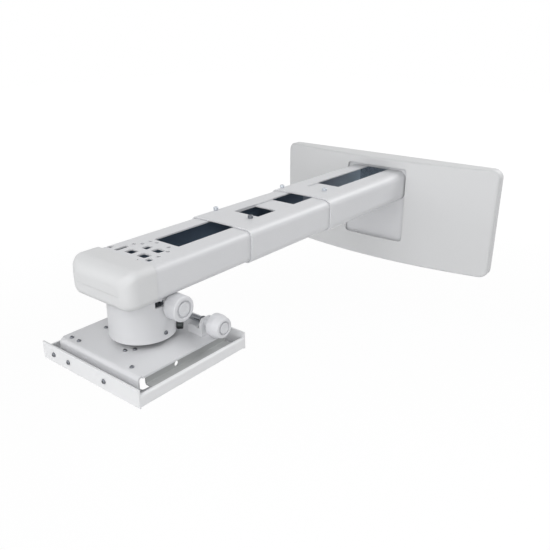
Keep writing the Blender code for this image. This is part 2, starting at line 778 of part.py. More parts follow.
def swivel_pieces(paint, zinc, steel, dark, knob_white, parent):
    base = Vector((0, -HUB_Y, ARM_Z))
    frame = joint_frame("swivel_axis", base, parent)
    edge = HEAD_BEAD
    hollow = HEAD_R - HEAD_WALL
    profile = [
        (BOSS_R, BOSS_BOTTOM),
        (BOSS_R, HEAD_TOP - HEAD_ROOF),
        (hollow, HEAD_TOP - HEAD_ROOF),
        (hollow, HEAD_BOTTOM),
        (HEAD_R - edge, HEAD_BOTTOM),
        (HEAD_R, HEAD_BOTTOM + edge),
        (HEAD_TOP_R, HEAD_TOP),
        (SWIVEL_BOLT_R + PIN_FIT, HEAD_TOP),
    ]
    loops = []
    for radius, z in profile:
        ring = circle(radius, steps=HEAD_STEPS)
        loops.append([Vector((a, b, z)) for a, b in ring])
    bm = bmesh.new()
    rings = [[bm.verts.new(point) for point in loop] for loop in loops]
    bore = [bm.verts.new((v.co.x, v.co.y, BOSS_BOTTOM)) for v in rings[-1]]
    rings.append(bore)
    rings.append(rings[0])
    for low, high in zip(rings, rings[1:]):
        for k in range(HEAD_STEPS):
            after = (k + 1) % HEAD_STEPS
            bm.faces.new((low[k], low[after], high[after], high[k]))
    head = place("swivel_head", bm, paint, frame, base, 40.0)

    # Two ears inside the head, which carry the tilt pins
    ears = []
    for side in (-1, 1):
        inner = side * (GIMBAL_HALF + EAR_GAP)
        outer = side * (GIMBAL_HALF + EAR_GAP + EAR_T)
        x0, x1 = min(inner, outer), max(inner, outer)
        roof = ARM_Z + HEAD_TOP - HEAD_ROOF / 2
        foot = ARM_Z + GIMBAL_Z
        outline = [(-HUB_Y - EAR_HALF_W, roof), (-HUB_Y - EAR_HALF_W, foot)]
        for k in range(1, 8):
            angle = math.radians(180 + 180 * k / 8)
            y = -HUB_Y + EAR_HALF_W * math.cos(angle)
            outline.append((y, foot + EAR_FOOT * math.sin(angle)))
        outline += [(-HUB_Y + EAR_HALF_W, foot), (-HUB_Y + EAR_HALF_W, roof)]
        ears.append(slab(outline, "x", x0, x1))
    cut(head, join(*ears), "UNION")
    holes = []
    reach = HEAD_R + 0.01
    centre = (0, -TILT_KNOB_Y, ARM_Z + TILT_KNOB_Z)
    holes.append(turned([(BUSH_R + PIN_FIT, 0.030), (BUSH_R + PIN_FIT, reach)], "x", centre))
    holes.extend(pin_holes("x", (0, -HUB_Y, ARM_Z + GIMBAL_Z)))
    cut(head, join(*holes))
    notch = box(
        -HEAD_NOTCH_HALF_W,
        HEAD_NOTCH_HALF_W,
        -HUB_Y + hollow - 0.006,
        -HUB_Y + reach,
        ARM_Z + HEAD_BOTTOM - 0.004,
        ARM_Z + HEAD_NOTCH_TOP,
    )
    window = box(
        hollow - 0.008, reach, -WINDOW_W / 2, WINDOW_W / 2, ARM_Z + WINDOW_BOTTOM, ARM_Z + WINDOW_TOP
    )
    hub = Vector((0, -HUB_Y, 0))
    bmesh.ops.rotate(window, verts=window.verts, matrix=turn_about_z(WINDOW_TURN))
    bmesh.ops.translate(window, verts=window.verts, vec=hub)
    cut(head, join(notch, window))

    # Two screws in the drum's wall, a small one in front and a larger one behind the tilt knob
    bore = PLATE_SCREW_R + PIN_FIT
    small_hole = turned([(bore, hollow - 0.002), (bore, reach)], "x", (0, 0, ARM_Z + HEAD_SCREW_Z), 12)
    bmesh.ops.translate(small_hole, verts=small_hole.verts, vec=hub)
    bore = SIDE_SCREW_R + PIN_FIT
    side_hole = turned([(bore, hollow - 0.002), (bore, reach)], "x", (0, 0, ARM_Z + SIDE_SCREW_Z), 16)
    bmesh.ops.rotate(side_hole, verts=side_hole.verts, matrix=turn_about_z(SIDE_SCREW_TURN))
    bmesh.ops.translate(side_hole, verts=side_hole.verts, vec=hub)
    cut(head, join(small_hole, side_hole))
    small = screw(PLATE_SCREW_HEAD_R, PLATE_SCREW_HEAD_H, PLATE_SCREW_R, HEAD_WALL, "x", 1, cross_at, 12)
    place("head_screw", small, dark, frame, (HEAD_R + TOUCH, -HUB_Y, ARM_Z + HEAD_SCREW_Z))
    stand = HEAD_R + TOUCH
    side = screw(SIDE_SCREW_HEAD_R, SIDE_SCREW_HEAD_H, SIDE_SCREW_R, HEAD_WALL, "x", 1)
    bmesh.ops.rotate(side, verts=side.verts, matrix=turn_about_z(SIDE_SCREW_TURN))
    angle = math.radians(SIDE_SCREW_TURN)
    at = (stand * math.cos(angle), stand * math.sin(angle) - HUB_Y, ARM_Z + SIDE_SCREW_Z)
    place("drum_side_screw", side, dark, frame, at)

    floor = ARM_Z - TUBE_H / 2 + TUBE_WALL + TOUCH + SWIVEL_PLATE_T + TOUCH
    below = ARM_Z + BOSS_BOTTOM - TOUCH - floor
    length = SWIVEL_NUT_H + 0.0005 - below
    bolt = screw(SWIVEL_BOLT_HEAD_R, SWIVEL_BOLT_HEAD_H, SWIVEL_BOLT_R, length)
    place("swivel_bolt", bolt, dark, frame, (0, -HUB_Y, floor))
    nut_top = ARM_Z + BOSS_BOTTOM - TOUCH
    outline = circle(SWIVEL_NUT_R, steps=6)
    nut = slab(outline, "z", -SWIVEL_NUT_H, 0.0, [circle(SWIVEL_BOLT_R + PIN_FIT, steps=20)])
    place("swivel_nut", nut, zinc, frame, (0, -HUB_Y, nut_top))

    bore = circle(SHAFT_R + PIN_FIT, steps=20)
    bush = slab(circle(BUSH_R, steps=20), "x", HEAD_R - 0.0120, HEAD_R + 0.0008, [bore])
    bush_at = (0, -TILT_KNOB_Y, ARM_Z + TILT_KNOB_Z)
    place("tilt_shaft_bush", bush, zinc, frame, bush_at)

    knob_frame = joint_frame("tilt_knob_axis", bush_at, frame)
    shaft = turned([(SHAFT_R, SHAFT_END_X), (SHAFT_R, KNOB1_X[1] - KNOB_WEB)], "x", steps=24)
    shaft_obj = place("tilt_shaft", shaft, steel, knob_frame, bush_at)
    pin = turned(
        [(ECC_PIN_R, FORK_X - 0.0015), (ECC_PIN_R, SHAFT_END_X + 0.002)],
        "x",
        (0, bush_at[1], bush_at[2] + ECCENTRIC),
        16,
    )
    disc_r = ECC_PIN_R + ECCENTRIC + 0.001
    disc = turned([(disc_r, SHAFT_END_X), (disc_r, SHAFT_END_X + 0.004)], "x", bush_at)
    cut(shaft_obj, disc, "UNION")
    cut(shaft_obj, pin, "UNION")
    build_knob(
        "tilt_knob", KNOB1_X, (KNOB1_R, KNOB1_R), (KNOB1_NECK_R, HEAD_R + 0.0011), SHAFT_R,
        knob_white, knob_frame, bush_at,
    )
    return frame


def turn_about_z(degrees):
    return Matrix.Rotation(math.radians(degrees), 3, "Z")


def pin_holes(axis, centre):
    """Two short bores for a pair of pins, one on each side of the gimbal."""
    start = GIMBAL_HALF - PIN_DEPTH
    end = GIMBAL_HALF + EAR_GAP + EAR_T + 0.006
    radius = PIN_R + PIN_FIT
    return [
        turned([(radius, -end), (radius, -start)], axis, centre, 16),
        turned([(radius, start), (radius, end)], axis, centre, 16),
    ]


def build_knob(name, span, radii, neck, shaft_r, mat, parent, at):
    """A round knob with a neck, a face that may be smaller, a ring groove and a blind bore."""
    x0, x1 = span
    radius, face_r = radii
    neck_r, neck_start = neck
    edge = 0.0022
    groove_out, groove_in, groove_d = face_r * 0.60, face_r * 0.46, 0.0014
    full = x1 - edge if face_r == radius else (x0 + x1) / 2
    profile = [
        (neck_r, neck_start),
        (neck_r, x0),
        (radius - edge * 0.6, x0),
        (radius, x0 + edge * 0.6),
        (radius, full),
        (face_r - edge * 0.3, x1 - edge * 0.3),
        (face_r - edge, x1),
        (groove_out, x1),
        (groove_out, x1 - groove_d),
        (groove_in, x1 - groove_d),
        (groove_in, x1),
    ]
    knob = place(name, turned(profile, "x", steps=24), mat, parent, at, 30.0)
    radius = shaft_r + PIN_FIT
    end = x1 - KNOB_WEB + TOUCH
    cut(knob, turned([(radius, neck_start - 0.002), (radius, end)], "x", at, 24))


def tilt_pieces(zinc, steel, parent):
    """The block between head and plate, with its pins, the tilt fork and the roll lever."""
    base = Vector((0, -HUB_Y, ARM_Z + GIMBAL_Z))
    frame = joint_frame("tilt_axis", base, parent)
    g, h = GIMBAL_HALF, GIMBAL_H / 2
    solid = slab(rounded_rect(2 * g, 2 * g, 0.002, steps=3), "z", -h, h)
    block = place("gimbal_block", solid, zinc, frame, base)
    cut(block, join(*pin_holes("x", base), *pin_holes("y", base)))
    out = g + EAR_GAP + EAR_T
    for side, label in ((-1, "left"), (1, "right")):
        reach = FORK_X + FORK_T / 2 + 0.0005 if side > 0 else out + 0.0005
        ends = sorted((side * (g - PIN_DEPTH + TOUCH), side * reach))
        pin = turned([(PIN_R, ends[0]), (PIN_R, ends[1])], "x", steps=16)
        place(f"tilt_pin_{label}", pin, steel, frame, base)
    for side, label in ((-1, "front"), (1, "back")):
        ends = sorted((side * (g - PIN_DEPTH + TOUCH), side * (out + 0.0005)))
        pin = turned([(PIN_R, ends[0]), (PIN_R, ends[1])], "y", steps=16)
        place(f"roll_pin_{label}", pin, steel, frame, base)

    # Fork, keyed on the right-hand tilt pin, which takes the eccentric pin in its slot
    pin_y = HUB_Y - TILT_KNOB_Y
    pin_z = TILT_KNOB_Z - GIMBAL_Z
    half = FORK_HALF
    outline = []
    for k in range(9):
        angle = math.radians(170 + 200 * k / 8)
        outline.append((FORK_EYE_R * math.cos(angle), FORK_EYE_R * math.sin(angle)))
    outline += [
        (pin_y + half, pin_z - 0.010),
        (pin_y + half, pin_z + FORK_TOP - FORK_CORNER),
        (pin_y + half - FORK_CORNER, pin_z + FORK_TOP),
        (pin_y - half + FORK_CORNER, pin_z + FORK_TOP),
        (pin_y - half, pin_z + FORK_TOP - FORK_CORNER),
        (pin_y - half, pin_z - 0.008),
    ]
    slot_half = ECC_PIN_R + ECC_PIN_FIT
    slot = []
    for centre_z, start in ((pin_z + ECCENTRIC, 0), (pin_z - 0.0012, 180)):
        for k in range(7):
            angle = math.radians(start + 180 * k / 6)
            slot.append((pin_y + slot_half * math.cos(angle), centre_z + slot_half * math.sin(angle)))
    eye = circle(PIN_R + PIN_FIT, steps=16)
    fork = slab(outline, "x", FORK_X - FORK_T / 2, FORK_X + FORK_T / 2, [slot, eye])
    place("tilt_fork", fork, zinc, frame, base)

    # Lever, which leaves the block under the head and turns up behind it
    back = HUB_Y - ROLL_KNOB_Y
    w = LEVER_HALF_W
    start = g + TOUCH
    clear = start + EAR_T + 0.0025
    fork_out, fork_in = g - 0.0002, EAR_HALF_W + 0.0012
    z0 = -LEVER_T / 2
    end = back + LEVER_UP_T / 2
    outline = [
        (fork_in, start),
        (fork_out, start),
        (fork_out, clear + 0.004),
        (w, clear + 0.008),
        (w, end),
        (-w, end),
        (-w, clear + 0.008),
        (-fork_out, clear + 0.004),
        (-fork_out, start),
        (-fork_in, start),
        (-fork_in, clear),
        (fork_in, clear),
    ]
    lever = place("roll_lever", slab(outline, "z", z0, z0 + LEVER_T), zinc, frame, base)
    top = ROLL_KNOB_Z - GIMBAL_Z + LEVER_UP
    inside = 0.0004
    upright = box(
        -w + inside, w - inside, back - LEVER_UP_T / 2, end - inside, z0 + inside, top
    )
    bmesh.ops.translate(upright, verts=upright.verts, vec=base)
    cut(lever, upright, "UNION")
    radius = ROLL_SCREW_R + LEVER_BORE_FIT
    centre = (0, -ROLL_KNOB_Y, ARM_Z + ROLL_KNOB_Z)
    cut(lever, turned([(radius, -w - 0.002), (radius, w + 0.002)], "x", centre, 24))
    return frame


def plate_pieces(paint, steel, dark, knob_white, parent):
    """The adjusting plate that rolls under the block, its guide rails, and the roll knob."""
    base = Vector((0, -HUB_Y, ARM_Z + GIMBAL_Z))
    frame = joint_frame("roll_axis", base, parent)
    top = ARM_Z + TOP_PLATE_Z
    t = TOP_PLATE_T
    w = TOP_PLATE_HALF_W
    flat_front = TOP_PLATE_FRONT - TOP_PLATE_BEND
    middle = -(flat_front + TOP_PLATE_BACK) / 2
    outline = rounded_rect(2 * w, flat_front - TOP_PLATE_BACK, TOP_PLATE_CORNER, (0, middle), 3)
    hw = PLATE_WINDOW_HALF
    holes = [rounded_rect(2 * hw + PLATE_WINDOW_WIDER, 2 * hw, 0.002, (0, -HUB_Y), 2)]
    for x, reach in PLATE_SCREWS:
        holes.append(circle(PLATE_SCREW_R + PIN_FIT, (x, -HUB_Y - reach), 10))
    bm = slab(outline, "z", top - t, top, holes)
    bmesh.ops.translate(bm, verts=bm.verts, vec=-base)
    plate = place("top_plate", bm, paint, frame, base)
    # Ears turned up from the window, which carry the roll pins
    ears = []
    for side in (-1, 1):
        inner = side * (GIMBAL_HALF + EAR_GAP)
        outer = side * (GIMBAL_HALF + EAR_GAP + EAR_T)
        y0, y1 = sorted((inner, outer))
        foot, head = top - t, ARM_Z + GIMBAL_Z
        outline = [(EAR_HALF_W, foot), (EAR_HALF_W, head)]
        for k in range(1, 8):
            angle = math.radians(180 * k / 8)
            x = EAR_HALF_W * math.cos(angle)
            outline.append((x, head + EAR_FOOT * math.sin(angle)))
        outline += [(-EAR_HALF_W, head), (-EAR_HALF_W, foot)]
        ears.append(slab(outline, "y", -HUB_Y + y0, -HUB_Y + y1))
    cut(plate, join(*ears), "UNION")
    cut(plate, join(*pin_holes("y", base)))

    # A lip bent down along the front of the plate
    bend = TOP_PLATE_BEND
    lip = []
    for radius, sweep in ((bend, range(0, 7)), (bend - LIP_T, range(6, -1, -1))):
        for k in sweep:
            angle = math.radians(90 + 15 * k)
            y, z = radius * math.cos(angle), radius * math.sin(angle)
            lip.append((y - flat_front, top - bend + z))
        if radius == bend:
            lip.append((-TOP_PLATE_FRONT, top - TOP_PLATE_LIP))
            lip.append((-TOP_PLATE_FRONT + LIP_T, top - TOP_PLATE_LIP))
    lip.append((-flat_front + 0.001, top - LIP_T))
    lip.append((-flat_front + 0.001, top))
    half = w - TOP_PLATE_CORNER
    cut(plate, slab(lip, "x", -half, half), "UNION")

    small = screw(PLATE_SCREW_HEAD_R, PLATE_SCREW_HEAD_H, PLATE_SCREW_R, 0.0028, "z", 1, cross_at, 12)
    first = None
    for number, (x, reach) in enumerate(PLATE_SCREWS, 1):
        at = (x, -HUB_Y - reach, top + TOUCH)
        if first is None:
            first = place(f"plate_screw_{number}", small, dark, frame, at)
        else:
            copy_of(first, f"plate_screw_{number}", frame, at)

    # Guide rails, hung under the plate's sides with a shelf turned outward
    web, gt = GUIDE_WEB_X, GUIDE_T
    out = TRAY_HALF_W - TRAY_T - SLIDE_FIT
    under = top - t - TOUCH
    shelf = ARM_Z + TRAY_SIDE_TOP - TRAY_T - TOUCH
    profile = [
        (web - GUIDE_TOP_W, under),
        (web - GUIDE_TOP_W, under - gt),
        (web - gt, under - gt),
        (web - gt, shelf - gt),
        (out, shelf - gt),
        (out, shelf),
        (web, shelf),
        (web, under),
    ]
    for side, label in ((-1, "left"), (1, "right")):
        mirrored = [(side * x, z) for x, z in profile]
        rail = slab(mirrored, "y", -GUIDE_FRONT, -GUIDE_BACK)
        bmesh.ops.translate(rail, verts=rail.verts, vec=-base)
        guide = place(f"guide_rail_{label}", rail, paint, frame, base)
        centre = (0, -GUIDE_HOLE_Y, ARM_Z + GUIDE_HOLE_Z)
        ends = sorted((side * (web + 0.002), side * (web - gt - 0.002)))
        cut(guide, turned([(GUIDE_HOLE_R, ends[0]), (GUIDE_HOLE_R, ends[1])], "x", centre, 16))

    # Bearing of the roll screw: a low saddle under the screw with one ear that holds it
    axis_z = ARM_Z + ROLL_KNOB_Z
    x1 = KNOB2_NECK_X - TOUCH
    ear = x1 - SADDLE_EAR_T
    foot = top + TOUCH
    low = axis_z - ROLL_SCREW_R - 0.0012
    high = axis_z + SADDLE_EAR_UP
    clear = ear - COLLAR_L - 2 * TOUCH
    deep = axis_z - COLLAR_R - 0.0008
    outline = [
        (SADDLE_X, foot),
        (x1, foot),
        (x1, high),
        (ear, high),
        (ear, deep),
        (clear, deep),
        (clear, low),
        (SADDLE_X, low),
    ]
    span = (-ROLL_KNOB_Y - SADDLE_HALF_Y, -ROLL_KNOB_Y + SADDLE_HALF_Y)
    saddle = slab(outline, "y", *span)
    bmesh.ops.translate(saddle, verts=saddle.verts, vec=-base)
    bearing = place("roll_bearing_block", saddle, paint, frame, base)
    corners = []
    for side in (-1, 1):
        y0 = -ROLL_KNOB_Y + side * SADDLE_HALF_Y
        inner = -ROLL_KNOB_Y + side * (SADDLE_HALF_Y - 0.0052)
        wedge = [(inner, high + 0.001), (y0 + side * 0.001, high + 0.001), (y0 + side * 0.001, axis_z)]
        corners.append(slab(wedge, "x", ear - 0.001, x1 + 0.001))
    radius = ROLL_SCREW_R + PIN_FIT
    centre = (0, -ROLL_KNOB_Y, axis_z)
    corners.append(turned([(radius, ear - 0.002), (radius, x1 + 0.002)], "x", centre, 24))
    cut(bearing, join(*corners))

    at = Vector((0, -ROLL_KNOB_Y, axis_z))
    knob_frame = joint_frame("roll_knob_axis", at, frame)
    rod = turned([(ROLL_SCREW_R, ROLL_SCREW_END), (ROLL_SCREW_R, KNOB2_X[1] - KNOB_WEB)], "x", steps=24)
    place("roll_screw", rod, steel, knob_frame, at)
    collar_end = ear - TOUCH
    bore = circle(ROLL_SCREW_R + PIN_FIT, steps=20)
    collar = slab(circle(COLLAR_R, steps=20), "x", collar_end - COLLAR_L, collar_end, [bore])
    place("roll_screw_collar", collar, dark, knob_frame, at)
    build_knob(
        "roll_knob", KNOB2_X, (KNOB2_R, KNOB2_FACE_R), (KNOB2_NECK_R, KNOB2_NECK_X), ROLL_SCREW_R,
        knob_white, knob_frame, at,
    )
    return frame


def tray_pieces(paint, dark, parent):
    """The folded tray that hangs on the guide rails and takes the projector underneath."""
    middle = -(TRAY_FRONT + TRAY_BACK) / 2
    base = Vector((0, middle, ARM_Z + TRAY_BOTTOM))
    frame = joint_frame("tray_slide", base, parent)
    w, t = TRAY_HALF_W, TRAY_T
    low = ARM_Z + TRAY_BOTTOM
    side_top = ARM_Z + TRAY_SIDE_TOP
    lip = TRAY_LIP
    profile = [
        (-w, low),
        (w, low),
        (w, side_top),
        (w - lip, side_top),
        (w - lip, side_top - t),
        (w - t, side_top - t),
        (w - t, low + t),
        (-w + t, low + t),
        (-w + t, side_top - t),
        (-w + lip, side_top - t),
        (-w + lip, side_top),
        (-w, side_top),
    ]
    bm = slab(profile, "y", -TRAY_FRONT + t, -TRAY_BACK - t)
    bmesh.ops.translate(bm, verts=bm.verts, vec=-base)
    tray = place("slide_tray", bm, paint, frame, base)
    high = ARM_Z + TRAY_FRONT_TOP
    walls = [
        box(-w, w, -TRAY_FRONT, -TRAY_FRONT + t + 0.0005, low, high),
        box(-w, w, -TRAY_BACK - t - 0.0005, -TRAY_BACK, low, high),
    ]
    cut(tray, join(*walls), "UNION")
    length = TRAY_FRONT - TRAY_BACK
    window = rounded_rect(2 * (w - TRAY_FLANGE), length - 2 * TRAY_FLANGE, 0.008, (0, middle))
    below, above = low - 0.005, low + 0.005
    cutters = [slab(window, "z", below, above)]
    row = length / 2 - 0.0175
    for x in (-TRAY_HOLE_X, TRAY_HOLE_X):
        for y in (middle - row, middle, middle + row):
            cutters.append(slab(circle(TRAY_HOLE_R, (x, y), 12), "z", below, above))
    for x in TRAY_SCREW_X:
        hole = circle(TRAY_SCREW_R + PIN_FIT, (x, ARM_Z + TRAY_SCREW_Z), 12)
        cutters.append(slab(hole, "y", -TRAY_FRONT - 0.003, -TRAY_FRONT + 0.005))
    cut(tray, join(*cutters))

    face = screw(TRAY_SCREW_HEAD_R, TRAY_SCREW_HEAD_H, TRAY_SCREW_R, 0.0050, "y", -1, cross_at, 12)
    first = None
    for label, x in zip(("left", "middle", "right"), TRAY_SCREW_X):
        at = (x, -TRAY_FRONT - TOUCH, ARM_Z + TRAY_SCREW_Z)
        name = f"tray_screw_{label}"
        if first is None:
            first = place(name, face, dark, frame, at)
        else:
            copy_of(first, name, frame, at)


clear_scene_and_build()
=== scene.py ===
"""Looks of a telescopic projector wall mount, built around its fixed frame."""

import json
import math
from typing import NamedTuple

import bmesh
import bpy
from bpy.props import FloatProperty, FloatVectorProperty, IntProperty, PointerProperty
from mathutils import Matrix, Vector

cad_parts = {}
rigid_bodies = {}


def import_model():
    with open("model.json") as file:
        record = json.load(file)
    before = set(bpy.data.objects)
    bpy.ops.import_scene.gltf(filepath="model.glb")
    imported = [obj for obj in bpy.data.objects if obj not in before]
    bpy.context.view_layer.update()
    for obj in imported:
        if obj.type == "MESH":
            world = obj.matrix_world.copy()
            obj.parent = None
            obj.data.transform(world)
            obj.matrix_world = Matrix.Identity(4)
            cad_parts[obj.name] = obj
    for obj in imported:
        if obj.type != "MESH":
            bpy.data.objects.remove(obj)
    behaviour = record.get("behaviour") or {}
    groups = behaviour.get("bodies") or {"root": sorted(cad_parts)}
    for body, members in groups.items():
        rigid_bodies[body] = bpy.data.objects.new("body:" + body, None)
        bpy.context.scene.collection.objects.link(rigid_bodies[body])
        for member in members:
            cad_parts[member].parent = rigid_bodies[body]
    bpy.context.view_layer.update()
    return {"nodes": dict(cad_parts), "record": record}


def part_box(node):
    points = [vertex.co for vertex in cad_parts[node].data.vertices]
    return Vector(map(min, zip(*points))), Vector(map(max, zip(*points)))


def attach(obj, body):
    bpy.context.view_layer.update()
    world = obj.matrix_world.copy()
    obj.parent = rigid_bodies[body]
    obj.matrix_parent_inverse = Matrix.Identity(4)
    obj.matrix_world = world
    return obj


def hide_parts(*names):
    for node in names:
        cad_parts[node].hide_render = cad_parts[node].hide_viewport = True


bl_info = {
    "name": "Projector Wall Mount",
    "version": (1, 0, 0),
    "blender": (4, 5, 0),
    "location": "View3D > Sidebar > Wall Mount",
    "description": "Dresses the telescopic wall mount and sets its studio",
    "category": "Object",
}

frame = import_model()

# Places and shapes in metres. Most are the solids' own. The end cap's rise and roundings, the roll
# knob's face and neck, the rod's sleeve, the side screw and the tray's window follow the photograph
# more closely.
TOUCH = 0.0003
ARM_Z = 0.055
HUB_Y = -0.6618
TUBE_STEP = 0.00255
SLOT_W = 0.0490
# Corners of the slots and of the rectangular holes
SLOT_CORNER = 0.002
SLOTS = {
    "front_tube": (0.3950, 0.6110),
    "middle_tube": (0.2560, 0.4470),
    "wall_tube": (0.0340, 0.2520),
}
LOCK_X = -0.0510
STOP_X = 0.0205
LOCK_ROWS = {"middle_tube": 0.4600, "wall_tube": 0.2900}
STOP_ROWS = {"middle_tube": 0.4600, "wall_tube": 0.2620}
TUBE_SCREW_HOLE_R = 0.0026
# Rectangular holes in the front tube's top: across, reach from the hub, width and length
BIG_HOLES = (
    (-0.0103, -0.0003, 0.0150, 0.0130),
    (0.0147, -0.0003, 0.0160, 0.0130),
    (-0.0058, -0.0230, 0.0105, 0.0120),
    (0.0150, -0.0235, 0.0150, 0.0130),
    (-0.0310, -0.0005, 0.0070, 0.0210),
    (-0.0462, 0.0056, 0.0070, 0.0070),
    (0.0320, 0.0064, 0.0090, 0.0090),
)
# Round holes beside them: across and reach from the hub
SMALL_HOLES = (
    (-0.0308, -0.0213),
    (-0.0226, -0.0290),
    (-0.0215, -0.0420),
    (-0.0105, -0.0435),
    (0.0160, -0.0410),
    (0.0275, -0.0290),
    (0.0190, 0.0165),
    (0.0320, -0.0090),
)
SMALL_HOLE_R = 0.0029
COVER_CORNER = 0.016
COVER_WALL = 0.0025
COVER_STRIPS = 96
# Opening of the cover: width, foot, top and corner radius
OPENING = (0.133, -0.0596, 0.0897, 0.007)
WALL_SHEET_T = 0.0028
WALL_SHEET_BEND = 0.0010
WALL_HOLES = [(x, z) for x in (-0.190, -0.130, 0.130, 0.190) for z in (-0.080, 0.080)]
WALL_HOLE_R = 0.0045
WALL_SLOTS = (-0.160, 0.160)
# Width, height and corner radius of each
WALL_SLOT = (0.030, 0.009, 0.0045)
CABLE_HOLE = (0.050, 0.030, 0.006)
CABLE_HOLE_Z = -0.075
# Half width, depth, thickness and flange of the bracket
BRACKET = (0.080, 0.0405, 0.003, 0.024)
BRACKET_BEND = 0.0015
BOLT_HOLES = [(x, z) for x in (-0.092, 0.092) for z in (-0.040, 0.072)]
BOLT_HOLE_R = 0.0043
CAP_FRONT = 0.7275
CAP_BACK = 0.6820
CAP_SIDE_OVER = 0.0020
CAP_TOP_OVER = 0.0030
CAP_FOOT_OVER = 0.0008
CAP_WALL = 0.0026
CAP_SIDE_R = 0.0105
CAP_PLAN_R = 0.020
CAP_TOP_R = 0.0210
CAP_FOOT_R = 0.0090
CAP_EDGE = 0.0005
SPIGOT_L = 0.010
SPIGOT_WALL = 0.002
HEAD_R = 0.0456
HEAD_TOP_R = 0.0442
HEAD_WALL = 0.0045
HEAD_ROOF = 0.0060
HEAD_FOOT = ARM_Z - 0.0874
HEAD_EDGE = 0.0015
HEAD_TOP_EDGE = 0.0006
# Half width and top of the notch in the drum's lower edge, on the wall's side
HEAD_NOTCH = (0.013, ARM_Z - 0.078)
BOSS_R = 0.0120
BOSS_FOOT = ARM_Z - 0.0420
SWIVEL_BORE_R = 0.0053
GIMBAL_Z = ARM_Z - 0.0910
# Reach of an ear from the hub, from near to far
EAR_REACH = (0.0125, 0.0165)
EAR_HALF_W = 0.0080
EAR_ARCH = 0.0044
PIN_HOLE_R = 0.0033
# Reach of a pin hole's cutter from the hub, from near to far
PIN_HOLE_REACH = (0.008, 0.024)
TILT_KNOB = Vector((0.0, -0.6480, ARM_Z - 0.0418))
# Radius of the bore for the tilt shaft's bush, and where it starts
TILT_BORE = (0.0088, 0.030)
ROLL_KNOB = Vector((0.0, -0.6060, ARM_Z - 0.0765))
ROLL_SCREW_R = 0.0038
ROLL_THREAD_L = 0.0220
ROLL_SLEEVE_R = 0.0047
# Window in the drum's side: turn about the hub in degrees, width, foot and top
WINDOW = (-6.0, 0.015, ARM_Z - 0.0392, ARM_Z - 0.0306)
WINDOW_CORNER = 0.0012
# Holes of the drum's two screws: turn about the hub in degrees, height and radius
DRUM_SCREW = (0.0, ARM_Z - 0.0769, 0.0014)
SIDE_SCREW = (41.0, ARM_Z - 0.0800, 0.0028)
SIDE_SCREW_TURN = 0.6
PLATE_HALF_W = 0.0830
PLATE_FRONT = 0.7400
PLATE_BACK = 0.5830
PLATE_TOP = ARM_Z - 0.0950
PLATE_T = 0.0030
PLATE_BEND = 0.0060
PLATE_LIP = 0.0170
PLATE_LIP_T = 0.0020
# Overlap of the lip's strip with the plate
PLATE_LIP_LAP = 0.004
PLATE_CORNER = 0.0025
# Width, length and corner radius
PLATE_WINDOW = (0.051, 0.033, 0.002)
RAIL_T = 0.0020
RAIL_BEND = 0.0008
# Outer face of a rail's web, from the middle
RAIL_WEB = 0.0800
RAIL_EDGE = 0.0003
# Hole through a rail's web: place along the arm, height and radius
GUIDE_HOLE = (-0.6770, ARM_Z - 0.1038, 0.0036)
TRAY_T = 0.0020
TRAY_BEND = 0.0010
TRAY_LIP = 0.0045
TRAY_SIDE_TOP = ARM_Z - 0.1065
TRAY_FLANGE = 0.0270
TRAY_WINDOW_CORNER = 0.0035
TRAY_HOLE_R = 0.0024
# From the tray's side and from its ends
TRAY_HOLE_INSET = (0.0125, 0.0175)
SWIVEL_BOLT_R = 0.0050
# Radius and height
SWIVEL_BOLT_HEAD = (0.0085, 0.0055)
SWIVEL_THREAD_L = 0.0120
# Share of the pitch
THREAD_DEPTH = 0.6
# Places of the studio's lights, with the side of each, and of the camera
LIGHTS = {
    "left_light": ((-1.1, -2.4, 1.0), 1.8),
    "right_light": ((1.6, -2.2, 0.7), 1.8),
    "high_light": ((0.3, -2.2, 1.8), 1.6),
    "back_light": ((0.9, 1.3, 1.5), 1.2),
}
LIGHTS_AIM = (0.0, -0.4, 0.0)
CAMERA_AT = Vector((0.6018, -1.1330, 0.3513))
CAMERA_AIM = Vector((-0.0181, -0.3517, -0.0559))
FLOOR_HALF = 12.0
FLOOR_GLOW = 1.03
# The floor's white share rises from the first to the second over these distances from the wall's
# middle
FLOOR_SHARE = (0.92, 1.0)
FLOOR_FADE = (1.8, 4.0)
# Moulding left between a knob's bore and its face
KNOB_FACE_T = 0.0057


class KnobShape(NamedTuple):
    """Places along a knob's axis, counted from the hub, and its radii."""

    back: float
    front: float
    radius: float
    face_r: float
    neck_r: float
    neck_start: float
    bore_r: float


TILT_SHAPE = KnobShape(0.0480, 0.0690, 0.0178, 0.0178, 0.0110, 0.0467, 0.0048)
ROLL_SHAPE = KnobShape(0.0790, 0.0985, 0.0165, 0.0143, 0.0072, 0.0675, 0.0041)


class ScrewShape(NamedTuple):
    """A screw's head and shank."""

    radius: float
    height: float
    shank_r: float
    shank_l: float


PLATE_SCREW = ScrewShape(0.0030, 0.0018, 0.0011, 0.0028)
TRAY_SCREW = ScrewShape(0.0034, 0.0020, 0.0013, 0.0050)
LOCK_SCREW = ScrewShape(0.0040, 0.0045, 0.0023, 0.00255)
STOP_SCREW = ScrewShape(0.0040, 0.0045, 0.0023, 0.00475)
BRACKET_BOLT = ScrewShape(0.0075, 0.0048, 0.0040, 0.0054)
CLAMP_SCREW = ScrewShape(0.0064, 0.0080, 0.0025, 0.0045)


# Sizes and colours


def length_setting(name, description, default, low, high):
    return FloatProperty(
        name=name, description=description, default=default, min=low, max=high, unit="LENGTH"
    )


def colour_setting(name, description, default):
    return FloatVectorProperty(
        name=name, description=description, default=default,
        subtype="COLOR", size=3, min=0, max=1,
    )


def power_setting(name, description, default):
    return FloatProperty(
        name=name, description=description + ", in watts", default=default, min=0.0, max=500.0
    )


